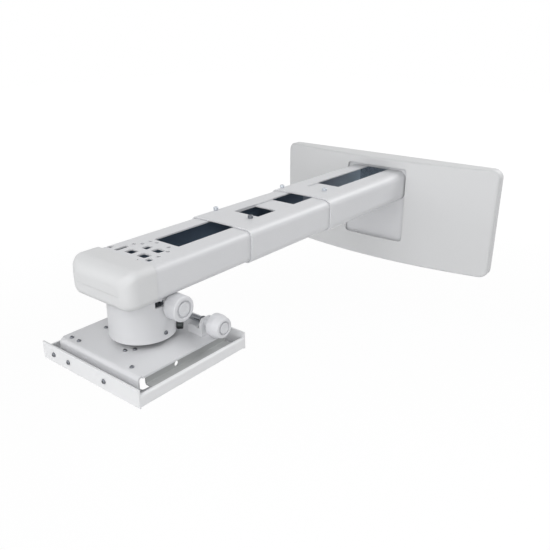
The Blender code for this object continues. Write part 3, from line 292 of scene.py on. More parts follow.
class MountSizes(bpy.types.PropertyGroup):
    """Sizes of the mount's finish that a user may change."""

    sheet_edge: length_setting(
        "Sheet edge", "Rounding along the edges of cut sheet", 0.0006, 0.0001, 0.0012
    )
    tube_corner: length_setting(
        "Tube corner", "Outer corner radius of the front tube", 0.0095, 0.004, 0.015
    )
    tube_wall: length_setting(
        "Tube wall", "Wall thickness of the sliding tubes", 0.0022, 0.001, 0.003
    )
    cover_middle_depth: length_setting(
        "Cover depth at the middle", "How far the bow stands off the wall", 0.0486, 0.03, 0.06
    )
    cover_end_depth: length_setting(
        "Cover depth at the ends", "How far the ends stand off the wall", 0.019, 0.01, 0.03
    )
    cover_edge: length_setting(
        "Cover edge", "Rounding between the cover's front and its sides", 0.005, 0.003, 0.007
    )
    thread_pitch: length_setting(
        "Thread pitch", "Pitch of the screw threads", 0.00125, 0.0008, 0.002
    )
    screw_seed: IntProperty(
        name="Screw turn seed", description="Seed for how far each screw is turned", default=7,
    )


class MountColours(bpy.types.PropertyGroup):
    """Colours of the mount's finishes, some of them painted shade and painted light."""

    paint: colour_setting("Paint", "Satin paint on tubes, head and plates", (0.70, 0.705, 0.72))
    moulding: colour_setting("Moulding", "Moulded wall cover and end cap", (0.69, 0.695, 0.70))
    knob: colour_setting("Knob", "Moulded knobs", (0.71, 0.715, 0.735))
    zinc: colour_setting("Zinc", "Zinc plated inner parts and the paler screws", (0.55, 0.58, 0.62))
    steel: colour_setting("Steel", "Bright turned steel", (0.60, 0.62, 0.64))
    screw: colour_setting("Screw", "Dark screws", (0.20, 0.21, 0.23))
    # Painted shade: the dark blue-grey inside the front and middle tubes stands in for the shade in
    # the closed tubes.
    inside: colour_setting(
        "Tube inside", "Dark coat inside the front and middle tubes", (0.170, 0.225, 0.300)
    )
    # Painted shade and light inside the wall tube: the paler blue-grey stands in for its shade, and
    # the colour at the wall for the light that gets in there.
    wall_inside: colour_setting(
        "Wall tube inside", "Paler coat inside the wall tube", (0.420, 0.450, 0.510)
    )
    wall_inside_end: colour_setting(
        "Wall tube inside, at the wall", "The same coat where light gets in", (0.74, 0.83, 0.90)
    )
    # Painted shade: the near-black on the drum's clamp screw stands in for the shade under the tilt
    # knob at the drum's right side.
    clamp_screw_shade: colour_setting("Clamp screw", "Black coat on the drum's clamp screw", (0.050, 0.055, 0.055))
    # Painted light: a paler copy of the satin paint, which brightens the tray beyond what the lamps
    # give it.
    tray: colour_setting("Tray paint", "Slightly paler paint on the slide tray", (0.815, 0.820, 0.830))
    # Painted shade: a dark copy of the satin paint that stands in for the shade in the gap under the
    # plate's edge.
    rail: colour_setting("Rail coat", "Darker coat on the guide rails", (0.420, 0.430, 0.430))


class StudioSettings(bpy.types.PropertyGroup):
    """Light and backdrop of the studio."""

    floor_drop: length_setting(
        "Floor drop", "How far the floor lies under the wall's middle", 0.9, 0.2, 3.0
    )
    ambient: FloatProperty(
        name="Ambient", description="Strength of the even light from all round",
        default=0.20, min=0.0, max=2.0,
    )
    left_light: power_setting("Left light", "Power of the soft light in front on the left", 13.0)
    right_light: power_setting("Right light", "Power of the soft light in front on the right", 24.5)
    high_light: power_setting("High light", "Power of the soft light high in front", 20.5)
    back_light: power_setting("Back light", "Power of the soft light above and behind", 26.5)
    lens: FloatProperty(
        name="Lens", description="Focal length of the camera, in millimetres",
        default=40.145, min=10.0, max=200.0,
    )


# Flat outlines


def rounded_rect(width, height, radius, centre=(0.0, 0.0), steps=10, along=1):
    """Points of a rounded rectangle, anticlockwise from the right of its top edge."""
    cx, cz = centre
    points = []
    quarters = ((1, 1, 0), (-1, 1, 90), (-1, -1, 180), (1, -1, 270))
    for index, (sx, sz, start) in enumerate(quarters):
        mx = cx + sx * (width / 2 - radius)
        mz = cz + sz * (height / 2 - radius)
        for step in range(steps + 1):
            angle = math.radians(start + 90 * step / steps)
            points.append((mx + radius * math.cos(angle), mz + radius * math.sin(angle)))
        if along > 1 and index in (0, 2):
            x0, z0 = points[-1]
            x1 = 2 * cx - x0
            for step in range(1, along):
                points.append((x0 + (x1 - x0) * step / along, z0))
    return points


def circle(radius, steps):
    turn = 2 * math.pi / steps
    return [(radius * math.cos(turn * k), radius * math.sin(turn * k)) for k in range(steps)]


def arc(centre_r, centre_x, radius, start, end, steps):
    """Part of a circle in a turned profile, as (radius, place) pairs."""
    points = []
    for k in range(steps + 1):
        angle = math.radians(start + (end - start) * k / steps)
        points.append((centre_r + radius * math.cos(angle), centre_x + radius * math.sin(angle)))
    return points


def ear_outline(centre, half_w, foot, head, arch):
    """A tab from foot to head with a rounded end. Negative sizes turn it upside down."""
    steps = 16
    outline = [(centre + half_w, foot), (centre + half_w, head)]
    for k in range(1, steps):
        angle = math.radians(180 * k / steps)
        outline.append((centre + half_w * math.cos(angle), head + arch * math.sin(angle)))
    return outline + [(centre - half_w, head), (centre - half_w, foot)]


def bent_sheet(path, thickness, bend, steps=5):
    """Outline of a sheet of even thickness along a path, with a round bend at each corner."""
    points = [Vector(p) for p in path]
    first = (points[1] - points[0]).normalized()
    half = thickness / 2
    left = [points[0] + Vector((-first.y, first.x)) * half]
    right = [points[0] - Vector((-first.y, first.x)) * half]
    for before, corner, after in zip(points, points[1:], points[2:]):
        d1 = (corner - before).normalized()
        d2 = (after - corner).normalized()
        turn = math.atan2(d1.x * d2.y - d1.y * d2.x, d1.dot(d2))
        side = 1.0 if turn > 0 else -1.0
        radius = bend + half
        back = radius * math.tan(abs(turn) / 2)
        normal = Vector((-d1.y, d1.x)) * side
        middle = corner - d1 * back + normal * radius
        for step in range(steps + 1):
            angle = turn * step / steps
            spoke = Matrix.Rotation(angle, 2) @ (-normal)
            inner, outer = middle + spoke * bend, middle + spoke * (bend + thickness)
            left.append(inner if side > 0 else outer)
            right.append(outer if side > 0 else inner)
    last = (points[-1] - points[-2]).normalized()
    left.append(points[-1] + Vector((-last.y, last.x)) * half)
    right.append(points[-1] - Vector((-last.y, last.x)) * half)
    return [tuple(p) for p in right + left[::-1]]


# Meshes


AXES = {
    "z": (Vector((1, 0, 0)), Vector((0, 1, 0)), Vector((0, 0, 1))),
    "y": (Vector((1, 0, 0)), Vector((0, 0, 1)), Vector((0, 1, 0))),
    "x": (Vector((0, 1, 0)), Vector((0, 0, 1)), Vector((1, 0, 0))),
}


def slab(outline, axis, start, end, holes=()):
    """A flat outline with holes, given thickness from start to end along the axis."""
    first, second, along = AXES[axis]
    bm = bmesh.new()
    edges = []
    for loop in (outline, *holes):
        verts = [bm.verts.new(first * a + second * b + along * start) for a, b in loop]
        edges += [bm.edges.new((v, verts[(k + 1) % len(verts)])) for k, v in enumerate(verts)]
    if holes:
        bmesh.ops.triangle_fill(bm, edges=edges, use_beauty=True, use_dissolve=False)
    else:
        bm.faces.new(bm.verts)
    grown = bmesh.ops.extrude_face_region(bm, geom=list(bm.faces))
    moved = [g for g in grown["geom"] if isinstance(g, bmesh.types.BMVert)]
    bmesh.ops.translate(bm, verts=moved, vec=along * (end - start))
    return bm


def box(x0, x1, y0, y1, z0, z1):
    return slab([(x0, y0), (x1, y0), (x1, y1), (x0, y1)], "z", z0, z1)


def loft(loops, ring=False):
    """A skin through loops of equal length, capped at both ends or closed on itself."""
    bm = bmesh.new()
    rings = [[bm.verts.new(p) for p in loop] for loop in loops]
    pairs = list(zip(rings, rings[1:]))
    if ring:
        pairs.append((rings[-1], rings[0]))
    for low, high in pairs:
        count = len(low)
        for k in range(count):
            after = (k + 1) % count
            bm.faces.new((low[k], low[after], high[after], high[k]))
    if not ring:
        bm.faces.new(rings[0])
        bm.faces.new(rings[-1])
    return bm


def turned(profile, axis="z", centre=(0, 0, 0), steps=64, ring=False):
    """A turned solid from (radius, place) pairs along the axis."""
    first, second, along = AXES[axis]
    origin = Vector(centre)
    loops = []
    for radius, at in profile:
        loops.append(
            [origin + first * a + second * b + along * at for a, b in circle(radius, steps=steps)]
        )
    return loft(loops, ring)


def bar(radius, start, end, axis="z", centre=(0, 0, 0), steps=32):
    """A round bar from start to end along the axis, mostly used as a cutter."""
    return turned([(radius, start), (radius, end)], axis, centre, steps)


def join(*parts):
    """One mesh in work that holds several."""
    whole = bmesh.new()
    for bm in parts:
        mesh = bpy.data.meshes.new("joined")
        bm.to_mesh(mesh)
        bm.free()
        whole.from_mesh(mesh)
        bpy.data.meshes.remove(mesh)
    return whole


def raw_object(name, bm, materials=()):
    """A mesh object in the scene from a mesh in work, its faces turned outwards."""
    bmesh.ops.recalc_face_normals(bm, faces=bm.faces)
    mesh = bpy.data.meshes.new(name)
    bm.to_mesh(mesh)
    bm.free()
    for material in materials:
        mesh.materials.append(material)
    obj = bpy.data.objects.new(name, mesh)
    bpy.context.scene.collection.objects.link(obj)
    return obj


def settle(obj):
    """Turns what the modifiers make into the object's own mesh."""
    bpy.context.view_layer.update()
    graph = bpy.context.evaluated_depsgraph_get()
    made = bpy.data.meshes.new_from_object(obj.evaluated_get(graph), depsgraph=graph)
    old = obj.data
    obj.modifiers.clear()
    obj.data = made
    made.name = obj.name
    bpy.data.meshes.remove(old)


def combine_with(obj, other, operation="DIFFERENCE"):
    """A Boolean with a whole object, which is used up by it."""
    modifier = obj.modifiers.new("shape", "BOOLEAN")
    modifier.operation = operation
    modifier.solver = "EXACT"
    modifier.object = other
    settle(obj)
    bpy.data.objects.remove(other)


def combine(obj, bm, operation="DIFFERENCE"):
    """A Boolean with a mesh in work."""
    combine_with(obj, raw_object(obj.name + "_tool", bm), operation)


def soften(obj, width):
    """Rounds the sharp edges and leaves those of round stretches alone."""
    bevel = obj.modifiers.new("edges", "BEVEL")
    bevel.width = width
    bevel.segments = 2
    bevel.limit_method = "ANGLE"
    bevel.angle_limit = math.radians(32.0)
    bevel.use_clamp_overlap = True
    bevel.miter_outer = "MITER_ARC"
    settle(obj)


def shade(obj, limit=38.0):
    """Smooth shading that stays crisp at edges sharper than the limit."""
    for face in obj.data.polygons:
        face.use_smooth = True
    obj.data.set_sharp_from_angle(angle=math.radians(limit))
    normals = obj.modifiers.new("normals", "WEIGHTED_NORMAL")
    normals.keep_sharp = True
    normals.weight = 60


def deliver(obj, body, slot, *nodes):
    """Hands a finished piece to the frame: it rides on its body in place of the named nodes."""
    settle(obj)
    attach(obj, body)
    if nodes:
        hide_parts(*nodes)


def complete(obj, edge, body, slot, node):
    """Rounds a piece's edges, shades it and hands it to the frame."""
    soften(obj, edge)
    shade(obj)
    deliver(obj, body, slot, node)


# Node trees for the finishes


def link(tree, source, output, target, socket):
    tree.links.new(source.outputs[output], target.inputs[socket])


def set_inputs(node, values):
    for name, value in values.items():
        node.inputs[name].default_value = value


def new_node(tree, kind, values):
    """A node of this kind with its named inputs set."""
    node = tree.nodes.new(kind)
    set_inputs(node, values)
    return node


def new_material(name):
    material = bpy.data.materials.new(name)
    material.use_nodes = True
    shader = material.node_tree.nodes["Principled BSDF"]
    return material, material.node_tree, shader


def feed_place(tree, target):
    """Gives a node the place in the object's own coordinates."""
    where = tree.nodes.new("ShaderNodeTexCoord")
    link(tree, where, "Object", target, "Vector")


def object_noise(tree, scale, detail, stretch=None, roughness=0.5):
    """Noise in the object's own coordinates, stretched along its axes where asked."""
    values = {"Scale": scale, "Detail": detail, "Roughness": roughness}
    noise = new_node(tree, "ShaderNodeTexNoise", values)
    if stretch is None:
        feed_place(tree, noise)
    else:
        mapping = new_node(tree, "ShaderNodeMapping", {"Scale": stretch})
        feed_place(tree, mapping)
        link(tree, mapping, "Vector", noise, "Vector")
    return noise


def ranged(tree, source, output, low, high, start=0.3, end=0.7):
    """Maps the values from start to end onto those from low to high."""
    values = {"From Min": start, "From Max": end, "To Min": low, "To Max": high}
    spread = new_node(tree, "ShaderNodeMapRange", values)
    link(tree, source, output, spread, "Value")
    return spread


def tinted(tree, source, output, colour, spread):
    """A colour that drifts by a small share, darker to lighter, with a texture."""
    ramp = tree.nodes.new("ShaderNodeValToRGB")
    ramp.color_ramp.elements[0].position = 0.3
    ramp.color_ramp.elements[1].position = 0.7
    ramp.color_ramp.elements[0].color = (*(c * (1 - spread) for c in colour), 1)
    ramp.color_ramp.elements[1].color = (*(min(c * (1 + spread), 1) for c in colour), 1)
    link(tree, source, output, ramp, "Fac")
    return ramp


def bumped(tree, shader, layers):
    """Feeds the shader's normal from (texture, output, strength, depth) layers."""
    before = None
    for texture, output, strength, depth in layers:
        bump = new_node(tree, "ShaderNodeBump", {"Strength": strength, "Distance": depth})
        link(tree, texture, output, bump, "Height")
        if before is not None:
            link(tree, before, "Normal", bump, "Normal")
        before = bump
    link(tree, before, "Normal", shader, "Normal")


def satin_paint(name, colour):
    """Sprayed powder paint: orange peel, fine grain and a slight drift of tone."""
    material, tree, shader = new_material(name)
    drift = object_noise(tree, 9.0, 2.0)
    speck = object_noise(tree, 1500.0, 2.0)
    peel_noise = object_noise(tree, 260.0, 1.0)
    tone = tinted(tree, drift, "Fac", colour, 0.012)
    link(tree, tone, "Color", shader, "Base Color")
    gloss = ranged(tree, speck, "Fac", 0.35, 0.45)
    link(tree, gloss, "Result", shader, "Roughness")
    bumped(
        tree, shader,
        [(peel_noise, "Fac", 0.10, 0.00012), (speck, "Fac", 0.10, 0.00004)],
    )
    shader.inputs["Specular IOR Level"].default_value = 0.5
    return material


def moulded(name, colour, roughness, grain):
    """Moulded plastic with an eroded grain."""
    material, tree, shader = new_material(name)
    drift = object_noise(tree, 5.0, 2.0)
    cells = new_node(tree, "ShaderNodeTexVoronoi", {"Scale": grain})
    feed_place(tree, cells)
    tone = tinted(tree, drift, "Fac", colour, 0.012)
    link(tree, tone, "Color", shader, "Base Color")
    gloss = ranged(tree, cells, "Distance", roughness - 0.04, roughness + 0.04, 0.0, 0.8)
    link(tree, gloss, "Result", shader, "Roughness")
    bumped(tree, shader, [(cells, "Distance", 0.12, 0.00005)])
    shader.inputs["Specular IOR Level"].default_value = 0.45
    return material


def metal(name, colour, roughness, stretch, spangle=0.0, metallic=1.0):
    """Worked metal: fine lines along the stretch, and zinc flakes where asked."""
    material, tree, shader = new_material(name)
    lines = object_noise(tree, 60.0, 4.0, stretch, 0.7)
    tone_source, tone_output = lines, "Fac"
    if spangle:
        flakes = new_node(tree, "ShaderNodeTexVoronoi", {"Scale": 420.0})
        feed_place(tree, flakes)
        grey = tree.nodes.new("ShaderNodeRGBToBW")
        link(tree, flakes, "Color", grey, "Color")
        tone_source, tone_output = grey, "Val"
    tone = tinted(tree, tone_source, tone_output, colour, 0.06 + spangle)
    link(tree, tone, "Color", shader, "Base Color")
    gloss = ranged(tree, lines, "Fac", roughness - 0.06, roughness + 0.08)
    link(tree, gloss, "Result", shader, "Roughness")
    bumped(tree, shader, [(lines, "Fac", 0.15, 0.00003)])
    shader.inputs["Metallic"].default_value = metallic
    return material


def paint_light_towards_wall(material, colour, start):
    """Lightens a finish with painted light from a place along the arm up to the wall, where light gets
    in.
    """
    tree = material.node_tree
    shader = tree.nodes["Principled BSDF"]
    tone = shader.inputs["Base Color"].links[0].from_socket
    split = tree.nodes.new("ShaderNodeSeparateXYZ")
    feed_place(tree, split)
    share = ranged(tree, split, "Y", 0.0, 1.0, start, 0.0)
    mix = new_node(tree, "ShaderNodeMixRGB", {"Color2": (*colour, 1)})
    link(tree, share, "Result", mix, "Fac")
    tree.links.new(tone, mix.inputs["Color1"])
    link(tree, mix, "Color", shader, "Base Color")


FINISHES = {}


def make_finishes(colours):
    inner = {"roughness": 0.42, "stretch": (8, 1, 1), "metallic": 0.0}
    screw = {"roughness": 0.38, "stretch": (1, 1, 18)}
    FINISHES.update(
        {
            "white_satin_paint": satin_paint("satin_paint", colours.paint),
            "white_moulding": moulded("moulding", colours.moulding, 0.46, 1300.0),
            "white_knob": moulded("knob_moulding", colours.knob, 0.34, 2100.0),
            "zinc_plate": metal("zinc", colours.zinc, 0.36, (1, 1, 1), spangle=0.05),
            "bright_steel": metal("turned_steel", colours.steel, 0.20, (24, 1, 1)),
            "dark_screw": metal("dark_zinc", colours.screw, **screw),
            # Painted shade inside the front and middle tubes
            "inside": metal("tube_inside", colours.inside, **inner),
            # Paler painted shade inside the wall tube, which turns to painted light towards the wall
            "wall_inside": metal("wall_tube_inside", colours.wall_inside, **inner),
            "grey_screw": metal("grey_zinc", colours.zinc, **screw),
            # Painted shade: near-black for the drum's clamp screw
            "black_screw": metal("black_oxide", colours.clamp_screw_shade, 0.50, (1, 1, 18)),
            # Painted light: the satin paint made paler for the tray
            "tray_paint": satin_paint("tray_paint", colours.tray),
            # Painted shade: the satin paint made dark for the guide rails under the plate
            "rail_paint": satin_paint("rail_paint", colours.rail),
        }
    )
    paint_light_towards_wall(FINISHES["wall_inside"], colours.wall_inside_end, -0.13)


# Geometry Nodes trees


def node_group(name, *inputs):
    """A tree for a modifier with geometry in and out and named, typed inputs."""
    tree = bpy.data.node_groups.new(name, "GeometryNodeTree")
    tree.is_modifier = True
    face = tree.interface
    face.new_socket("Geometry", in_out="INPUT", socket_type="NodeSocketGeometry")
    face.new_socket("Geometry", in_out="OUTPUT", socket_type="NodeSocketGeometry")
    for label, kind, default in inputs:
        socket = face.new_socket(label, in_out="INPUT", socket_type=f"NodeSocket{kind}")
        if default is not None:
            socket.default_value = default
    return tree, tree.nodes.new("NodeGroupInput"), tree.nodes.new("NodeGroupOutput")


def finish_tree(tree, group_in, group_out, source, output):
    """Ends a tree in Realize Instances and Set Material."""
    real = tree.nodes.new("GeometryNodeRealizeInstances")
    paint = tree.nodes.new("GeometryNodeSetMaterial")
    link(tree, source, output, real, "Geometry")
    link(tree, real, "Geometry", paint, "Geometry")
    link(tree, group_in, "Material", paint, "Material")
    link(tree, paint, "Geometry", group_out, "Geometry")


def math_node(tree, operation, *values):
    node = tree.nodes.new("ShaderNodeMath")
    node.operation = operation
    for index, value in enumerate(values):
        if isinstance(value, tuple):
            tree.links.new(value[0].outputs[value[1]], node.inputs[index])
        else:
            node.inputs[index].default_value = value
    return node


def repeat_tree():
    """Sets a piece on every point, along one direction, each turned by its own amount."""
    tree, group_in, group_out = node_group(
        "repeat_on_points",
        ("Piece", "Object", None),
        ("Direction", "Vector", (0.0, 0.0, 1.0)),
        ("Most turn", "Float", math.pi),
        ("Seed", "Int", 1),
        ("Material", "Material", None),
    )
    piece = new_node(tree, "GeometryNodeObjectInfo", {"As Instance": True})
    link(tree, group_in, "Piece", piece, "Object")
    aim = tree.nodes.new("FunctionNodeAlignRotationToVector")
    aim.axis = "Z"
    link(tree, group_in, "Direction", aim, "Vector")
    chance = tree.nodes.new("FunctionNodeRandomValue")
    chance.data_type = "FLOAT"
    link(tree, group_in, "Most turn", chance, 3)
    link(tree, group_in, "Seed", chance, "Seed")
    spin = tree.nodes.new("FunctionNodeAxisAngleToRotation")
    tree.links.new(chance.outputs[1], spin.inputs["Angle"])
    turn = tree.nodes.new("FunctionNodeRotateRotation")
    turn.rotation_space = "LOCAL"
    link(tree, aim, "Rotation", turn, "Rotation")
    link(tree, spin, "Rotation", turn, "Rotate By")
    place = tree.nodes.new("GeometryNodeInstanceOnPoints")
    link(tree, group_in, "Geometry", place, "Points")
    link(tree, piece, "Geometry", place, "Instance")
    link(tree, turn, "Rotation", place, "Rotation")
    finish_tree(tree, group_in, group_out, place, "Instances")
    return tree


def thread_tree():
    """A thread along Z: a ridge wound round a core, joined to the mesh that comes in."""
    tree, group_in, group_out = node_group(
        "thread",
        ("Radius", "Float", 0.004),
        ("Pitch", "Float", 0.00125),
        ("Length", "Float", 0.02),
        ("Start", "Float", 0.0),
        ("Material", "Material", None),
    )
    turns = math_node(tree, "DIVIDE", (group_in, "Length"), (group_in, "Pitch"))
    root = math_node(tree, "MULTIPLY", (group_in, "Pitch"), 0.30)
    middle = math_node(tree, "SUBTRACT", (group_in, "Radius"), (root, 0))
    helix = new_node(tree, "GeometryNodeCurveSpiral", {"Resolution": 28})
    link(tree, turns, 0, helix, "Rotations")
    link(tree, middle, 0, helix, "Start Radius")
    link(tree, middle, 0, helix, "End Radius")
    link(tree, group_in, "Length", helix, "Height")
    ridge = new_node(tree, "GeometryNodeCurvePrimitiveCircle", {"Resolution": 6})
    width = math_node(tree, "MULTIPLY", (group_in, "Pitch"), 0.34)
    link(tree, width, 0, ridge, "Radius")
    sweep = new_node(tree, "GeometryNodeCurveToMesh", {"Fill Caps": True})
    link(tree, helix, "Curve", sweep, "Curve")
    link(tree, ridge, "Curve", sweep, "Profile Curve")
    lift = tree.nodes.new("ShaderNodeCombineXYZ")
    link(tree, group_in, "Start", lift, "Z")
    move = tree.nodes.new("GeometryNodeTransform")
    link(tree, sweep, "Mesh", move, "Geometry")
    link(tree, lift, "Vector", move, "Translation")
    together = tree.nodes.new("GeometryNodeJoinGeometry")
    link(tree, group_in, "Geometry", together, "Geometry")
    link(tree, move, "Geometry", together, "Geometry")
    finish_tree(tree, group_in, group_out, together, "Geometry")
    return tree


def bow_tree():
    """Bends the flat front of the cover into its bow, a parabola from end to end."""
    tree, group_in, group_out = node_group(
        "cover_bow",
        ("Width", "Float", 0.48),
        ("Middle depth", "Float", 0.0486),
        ("End depth", "Float", 0.019),
        ("Material", "Material", None),
    )
    where = tree.nodes.new("GeometryNodeInputPosition")
    parts = tree.nodes.new("ShaderNodeSeparateXYZ")
    link(tree, where, "Position", parts, "Vector")
    half = math_node(tree, "MULTIPLY", (group_in, "Width"), 0.5)
    share = math_node(tree, "DIVIDE", (parts, "X"), (half, 0))
    square = math_node(tree, "MULTIPLY", (share, 0), (share, 0))
    drop = math_node(tree, "SUBTRACT", (group_in, "Middle depth"), (group_in, "End depth"))
    amount = math_node(tree, "MULTIPLY", (square, 0), (drop, 0))
    limit = math_node(tree, "MULTIPLY", (group_in, "Middle depth"), -0.5)
    front = math_node(tree, "LESS_THAN", (parts, "Y"), (limit, 0))
    shift = math_node(tree, "MULTIPLY", (amount, 0), (front, 0))
    offset = tree.nodes.new("ShaderNodeCombineXYZ")
    link(tree, shift, 0, offset, "Y")
    bend = tree.nodes.new("GeometryNodeSetPosition")
    link(tree, group_in, "Geometry", bend, "Geometry")
    link(tree, offset, "Vector", bend, "Offset")
    finish_tree(tree, group_in, group_out, bend, "Geometry")
    return tree


TREES = {}


def run_tree(obj, tree, **values):
    """Runs a tree on an object with its inputs set by identifier, and keeps the result as its mesh."""
    modifier = obj.modifiers.new(tree.name, "NODES")
    modifier.node_group = tree
    names = {
        item.name.replace(" ", "_").lower(): item.identifier
        for item in tree.interface.items_tree
        if item.in_out == "INPUT"
    }
    for label, value in values.items():
        modifier[names[label]] = value
    settle(obj)


def repeated(name, piece, places, direction, material, most_turn, seed=1):
    """One mesh with a copy of the piece at each place."""
    bm = bmesh.new()
    for at in places:
        bm.verts.new(at)
    mesh = bpy.data.meshes.new(name)
    bm.to_mesh(mesh)
    bm.free()
    obj = bpy.data.objects.new(name, mesh)
    bpy.context.scene.collection.objects.link(obj)
    run_tree(
        obj, TREES["repeat"], piece=piece, direction=direction,
        most_turn=most_turn, seed=seed, material=material,
    )
    return obj


# Screws


def cross_head(radius, height, shank_r, shank_l):
    """A screw with a domed head, its washer and a cross recess; the head stands on z = 0."""
    washer = height * 0.20
    dome = radius * 0.88
    profile = [(shank_r, -shank_l), (shank_r, 0.0), (radius, 0.0), (radius, washer), (dome, washer)]
    for k in range(7):
        angle = math.radians(90 * k / 6)
        profile.append(
            (
                dome * (0.35 + 0.65 * math.cos(angle)),
                washer + (height - washer) * (0.30 + 0.70 * math.sin(angle)),
            )
        )
    head = raw_object("cross_head", turned(profile, steps=32))
    arm, half = radius * 0.54, radius * 0.16
    quarter = [(arm, -half), (arm, half), (half, half)]
    cross = []
    for turn in range(4):
        c, s = (1, 0, -1, 0)[turn], (0, 1, 0, -1)[turn]
        cross += [(c * x - s * y, s * x + c * y) for x, y in quarter]
    combine(head, slab(cross, "z", height * 0.40, height + 0.001))
    return head


def socket_head(radius, height, shank_r, shank_l):
    """A screw with a cylinder head and a hexagon socket; the head stands on z = 0."""
    edge = radius * 0.12
    profile = [(shank_r, -shank_l), (shank_r, 0.0), (radius - edge / 2, 0.0), (radius, edge / 2)]
    profile += arc(radius - edge, height - edge, edge, 0, 90, 4)
    head = raw_object("socket_head", turned(profile, steps=48))
    combine(head, slab(circle(radius * 0.52, steps=6), "z", height * 0.40, height + 0.001))
    return head


OUTWARD = {"z": Vector((0, 0, 1)), "x": Vector((1, 0, 0)), "y": Vector((0, -1, 0))}


def head_seat(node, axis, height):
    """Where the head of a screw node stands, from the node's own box."""
    low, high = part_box(node)
    seat = (low + high) / 2
    if axis == "z":
        seat.z = high.z - height
    elif axis == "x":
        seat.x = high.x - height
    else:
        seat.y = low.y + height
    return seat


def screw_set(name, prototype, nodes, axis, height, body, seed, finish):
    """Every screw of one kind on one body, in place of its nodes."""
    places = [head_seat(node, axis, height) for node in nodes]
    made = repeated(
        name, prototype, places, OUTWARD[axis], FINISHES[finish], math.pi, seed
    )
    shade(made, 34.0)
    deliver(made, body, "dark_screw", *nodes)


# Pieces


def strip_pairs(ring):
    """Upper and lower points of the upright strips of a ring that is symmetric up and down."""
    upper = sorted((v for v in ring if v.co.z > 0), key=lambda v: (round(v.co.x, 7), v.co.z))
    lower = sorted((v for v in ring if v.co.z < 0), key=lambda v: (round(v.co.x, 7), -v.co.z))
    return list(zip(upper, lower))


def flat_cover(width, height, depth, edge):
    """The cover before it is bowed: a shallow tray with rounded edges, open to the wall."""

    def ring(inset, y):
        radius = max(COVER_CORNER - inset, 0.0015)
        outline = rounded_rect(
            width - 2 * inset, height - 2 * inset, radius, steps=8, along=COVER_STRIPS
        )
        return [Vector((x, y, z)) for x, z in outline]

    outer, inner = [ring(0.0, -TOUCH)], [ring(COVER_WALL, -TOUCH)]
    rounding = 8
    inner_edge = edge - COVER_WALL
    for step in range(rounding + 1):
        angle = math.radians(90 * step / rounding)
        side, rise = 1 - math.cos(angle), 1 - math.sin(angle)
        outer.append(ring(edge * side, -depth + edge * rise))
        inner.append(
            ring(COVER_WALL + inner_edge * side, -depth + COVER_WALL + inner_edge * rise)
        )
    bm = bmesh.new()
    chain = [[bm.verts.new(p) for p in loop] for loop in (*reversed(inner), *outer)]
    count = len(chain[0])
    for low, high in zip(chain, chain[1:]):
        for k in range(count):
            after = (k + 1) % count
            bm.faces.new((low[k], low[after], high[after], high[k]))
    for closing in (chain[0], chain[-1]):
        pairs = strip_pairs(closing)
        for (t0, b0), (t1, b1) in zip(pairs, pairs[1:]):
            bm.faces.new((t0, t1, b1, b0))
    return bm


class MOUNT_OT_wall_cover(bpy.types.Operator):
    """Makes the moulded wall cover with its bow, rounded edges and opening"""

    bl_idname = "mount.wall_cover"
    bl_label = "Wall cover"

    def execute(self, context):
        sizes = context.scene.mount_sizes
        low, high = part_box("wall_cover")
        width, height = high.x - low.x, high.z - low.z
        depth = sizes.cover_middle_depth
        cover = raw_object(
            "cover_shell",
            flat_cover(width, height, depth, sizes.cover_edge),
            [FINISHES["white_moulding"]],
        )
        opening_w, bottom, top, corner = OPENING
        outline = rounded_rect(opening_w, top - bottom, corner, (0, (top + bottom) / 2))
        combine(cover, slab(outline, "y", -depth - 0.01, -depth + 0.008))
        soften(cover, 0.0006)
        run_tree(
            cover, TREES["bow"], width=width, middle_depth=depth,
            end_depth=sizes.cover_end_depth, material=FINISHES["white_moulding"],
        )
        shade(cover)
        deliver(cover, "wall_side", "white_moulding", "wall_cover")
        return {"FINISHED"}


def tube_mesh(width, height, radius, wall, front, back):
    """A rounded box tube, whose inner skin takes the second finish."""
    outer = rounded_rect(width, height, radius, (0, ARM_Z))
    inner = rounded_rect(width - 2 * wall, height - 2 * wall, radius - wall, (0, ARM_Z))
    loops = [
        [Vector((x, y, z)) for x, z in outline]
        for y, outline in ((-front, outer), (-back, outer), (-back, inner), (-front, inner))
    ]
    bm = loft(loops, ring=True)
    count = len(outer)
    for face in list(bm.faces)[2 * count : 3 * count]:
        face.material_index = 1
    return bm


def punches(name, places, radius, low, high):
    """Round cutters for a set of holes, one at each place."""
    cutter = raw_object("punch", bar(radius, low, high, steps=24))
    made = repeated(name, cutter, places, Vector((0, 0, 1)), None, 0.0)
    bpy.data.objects.remove(cutter)
    return made


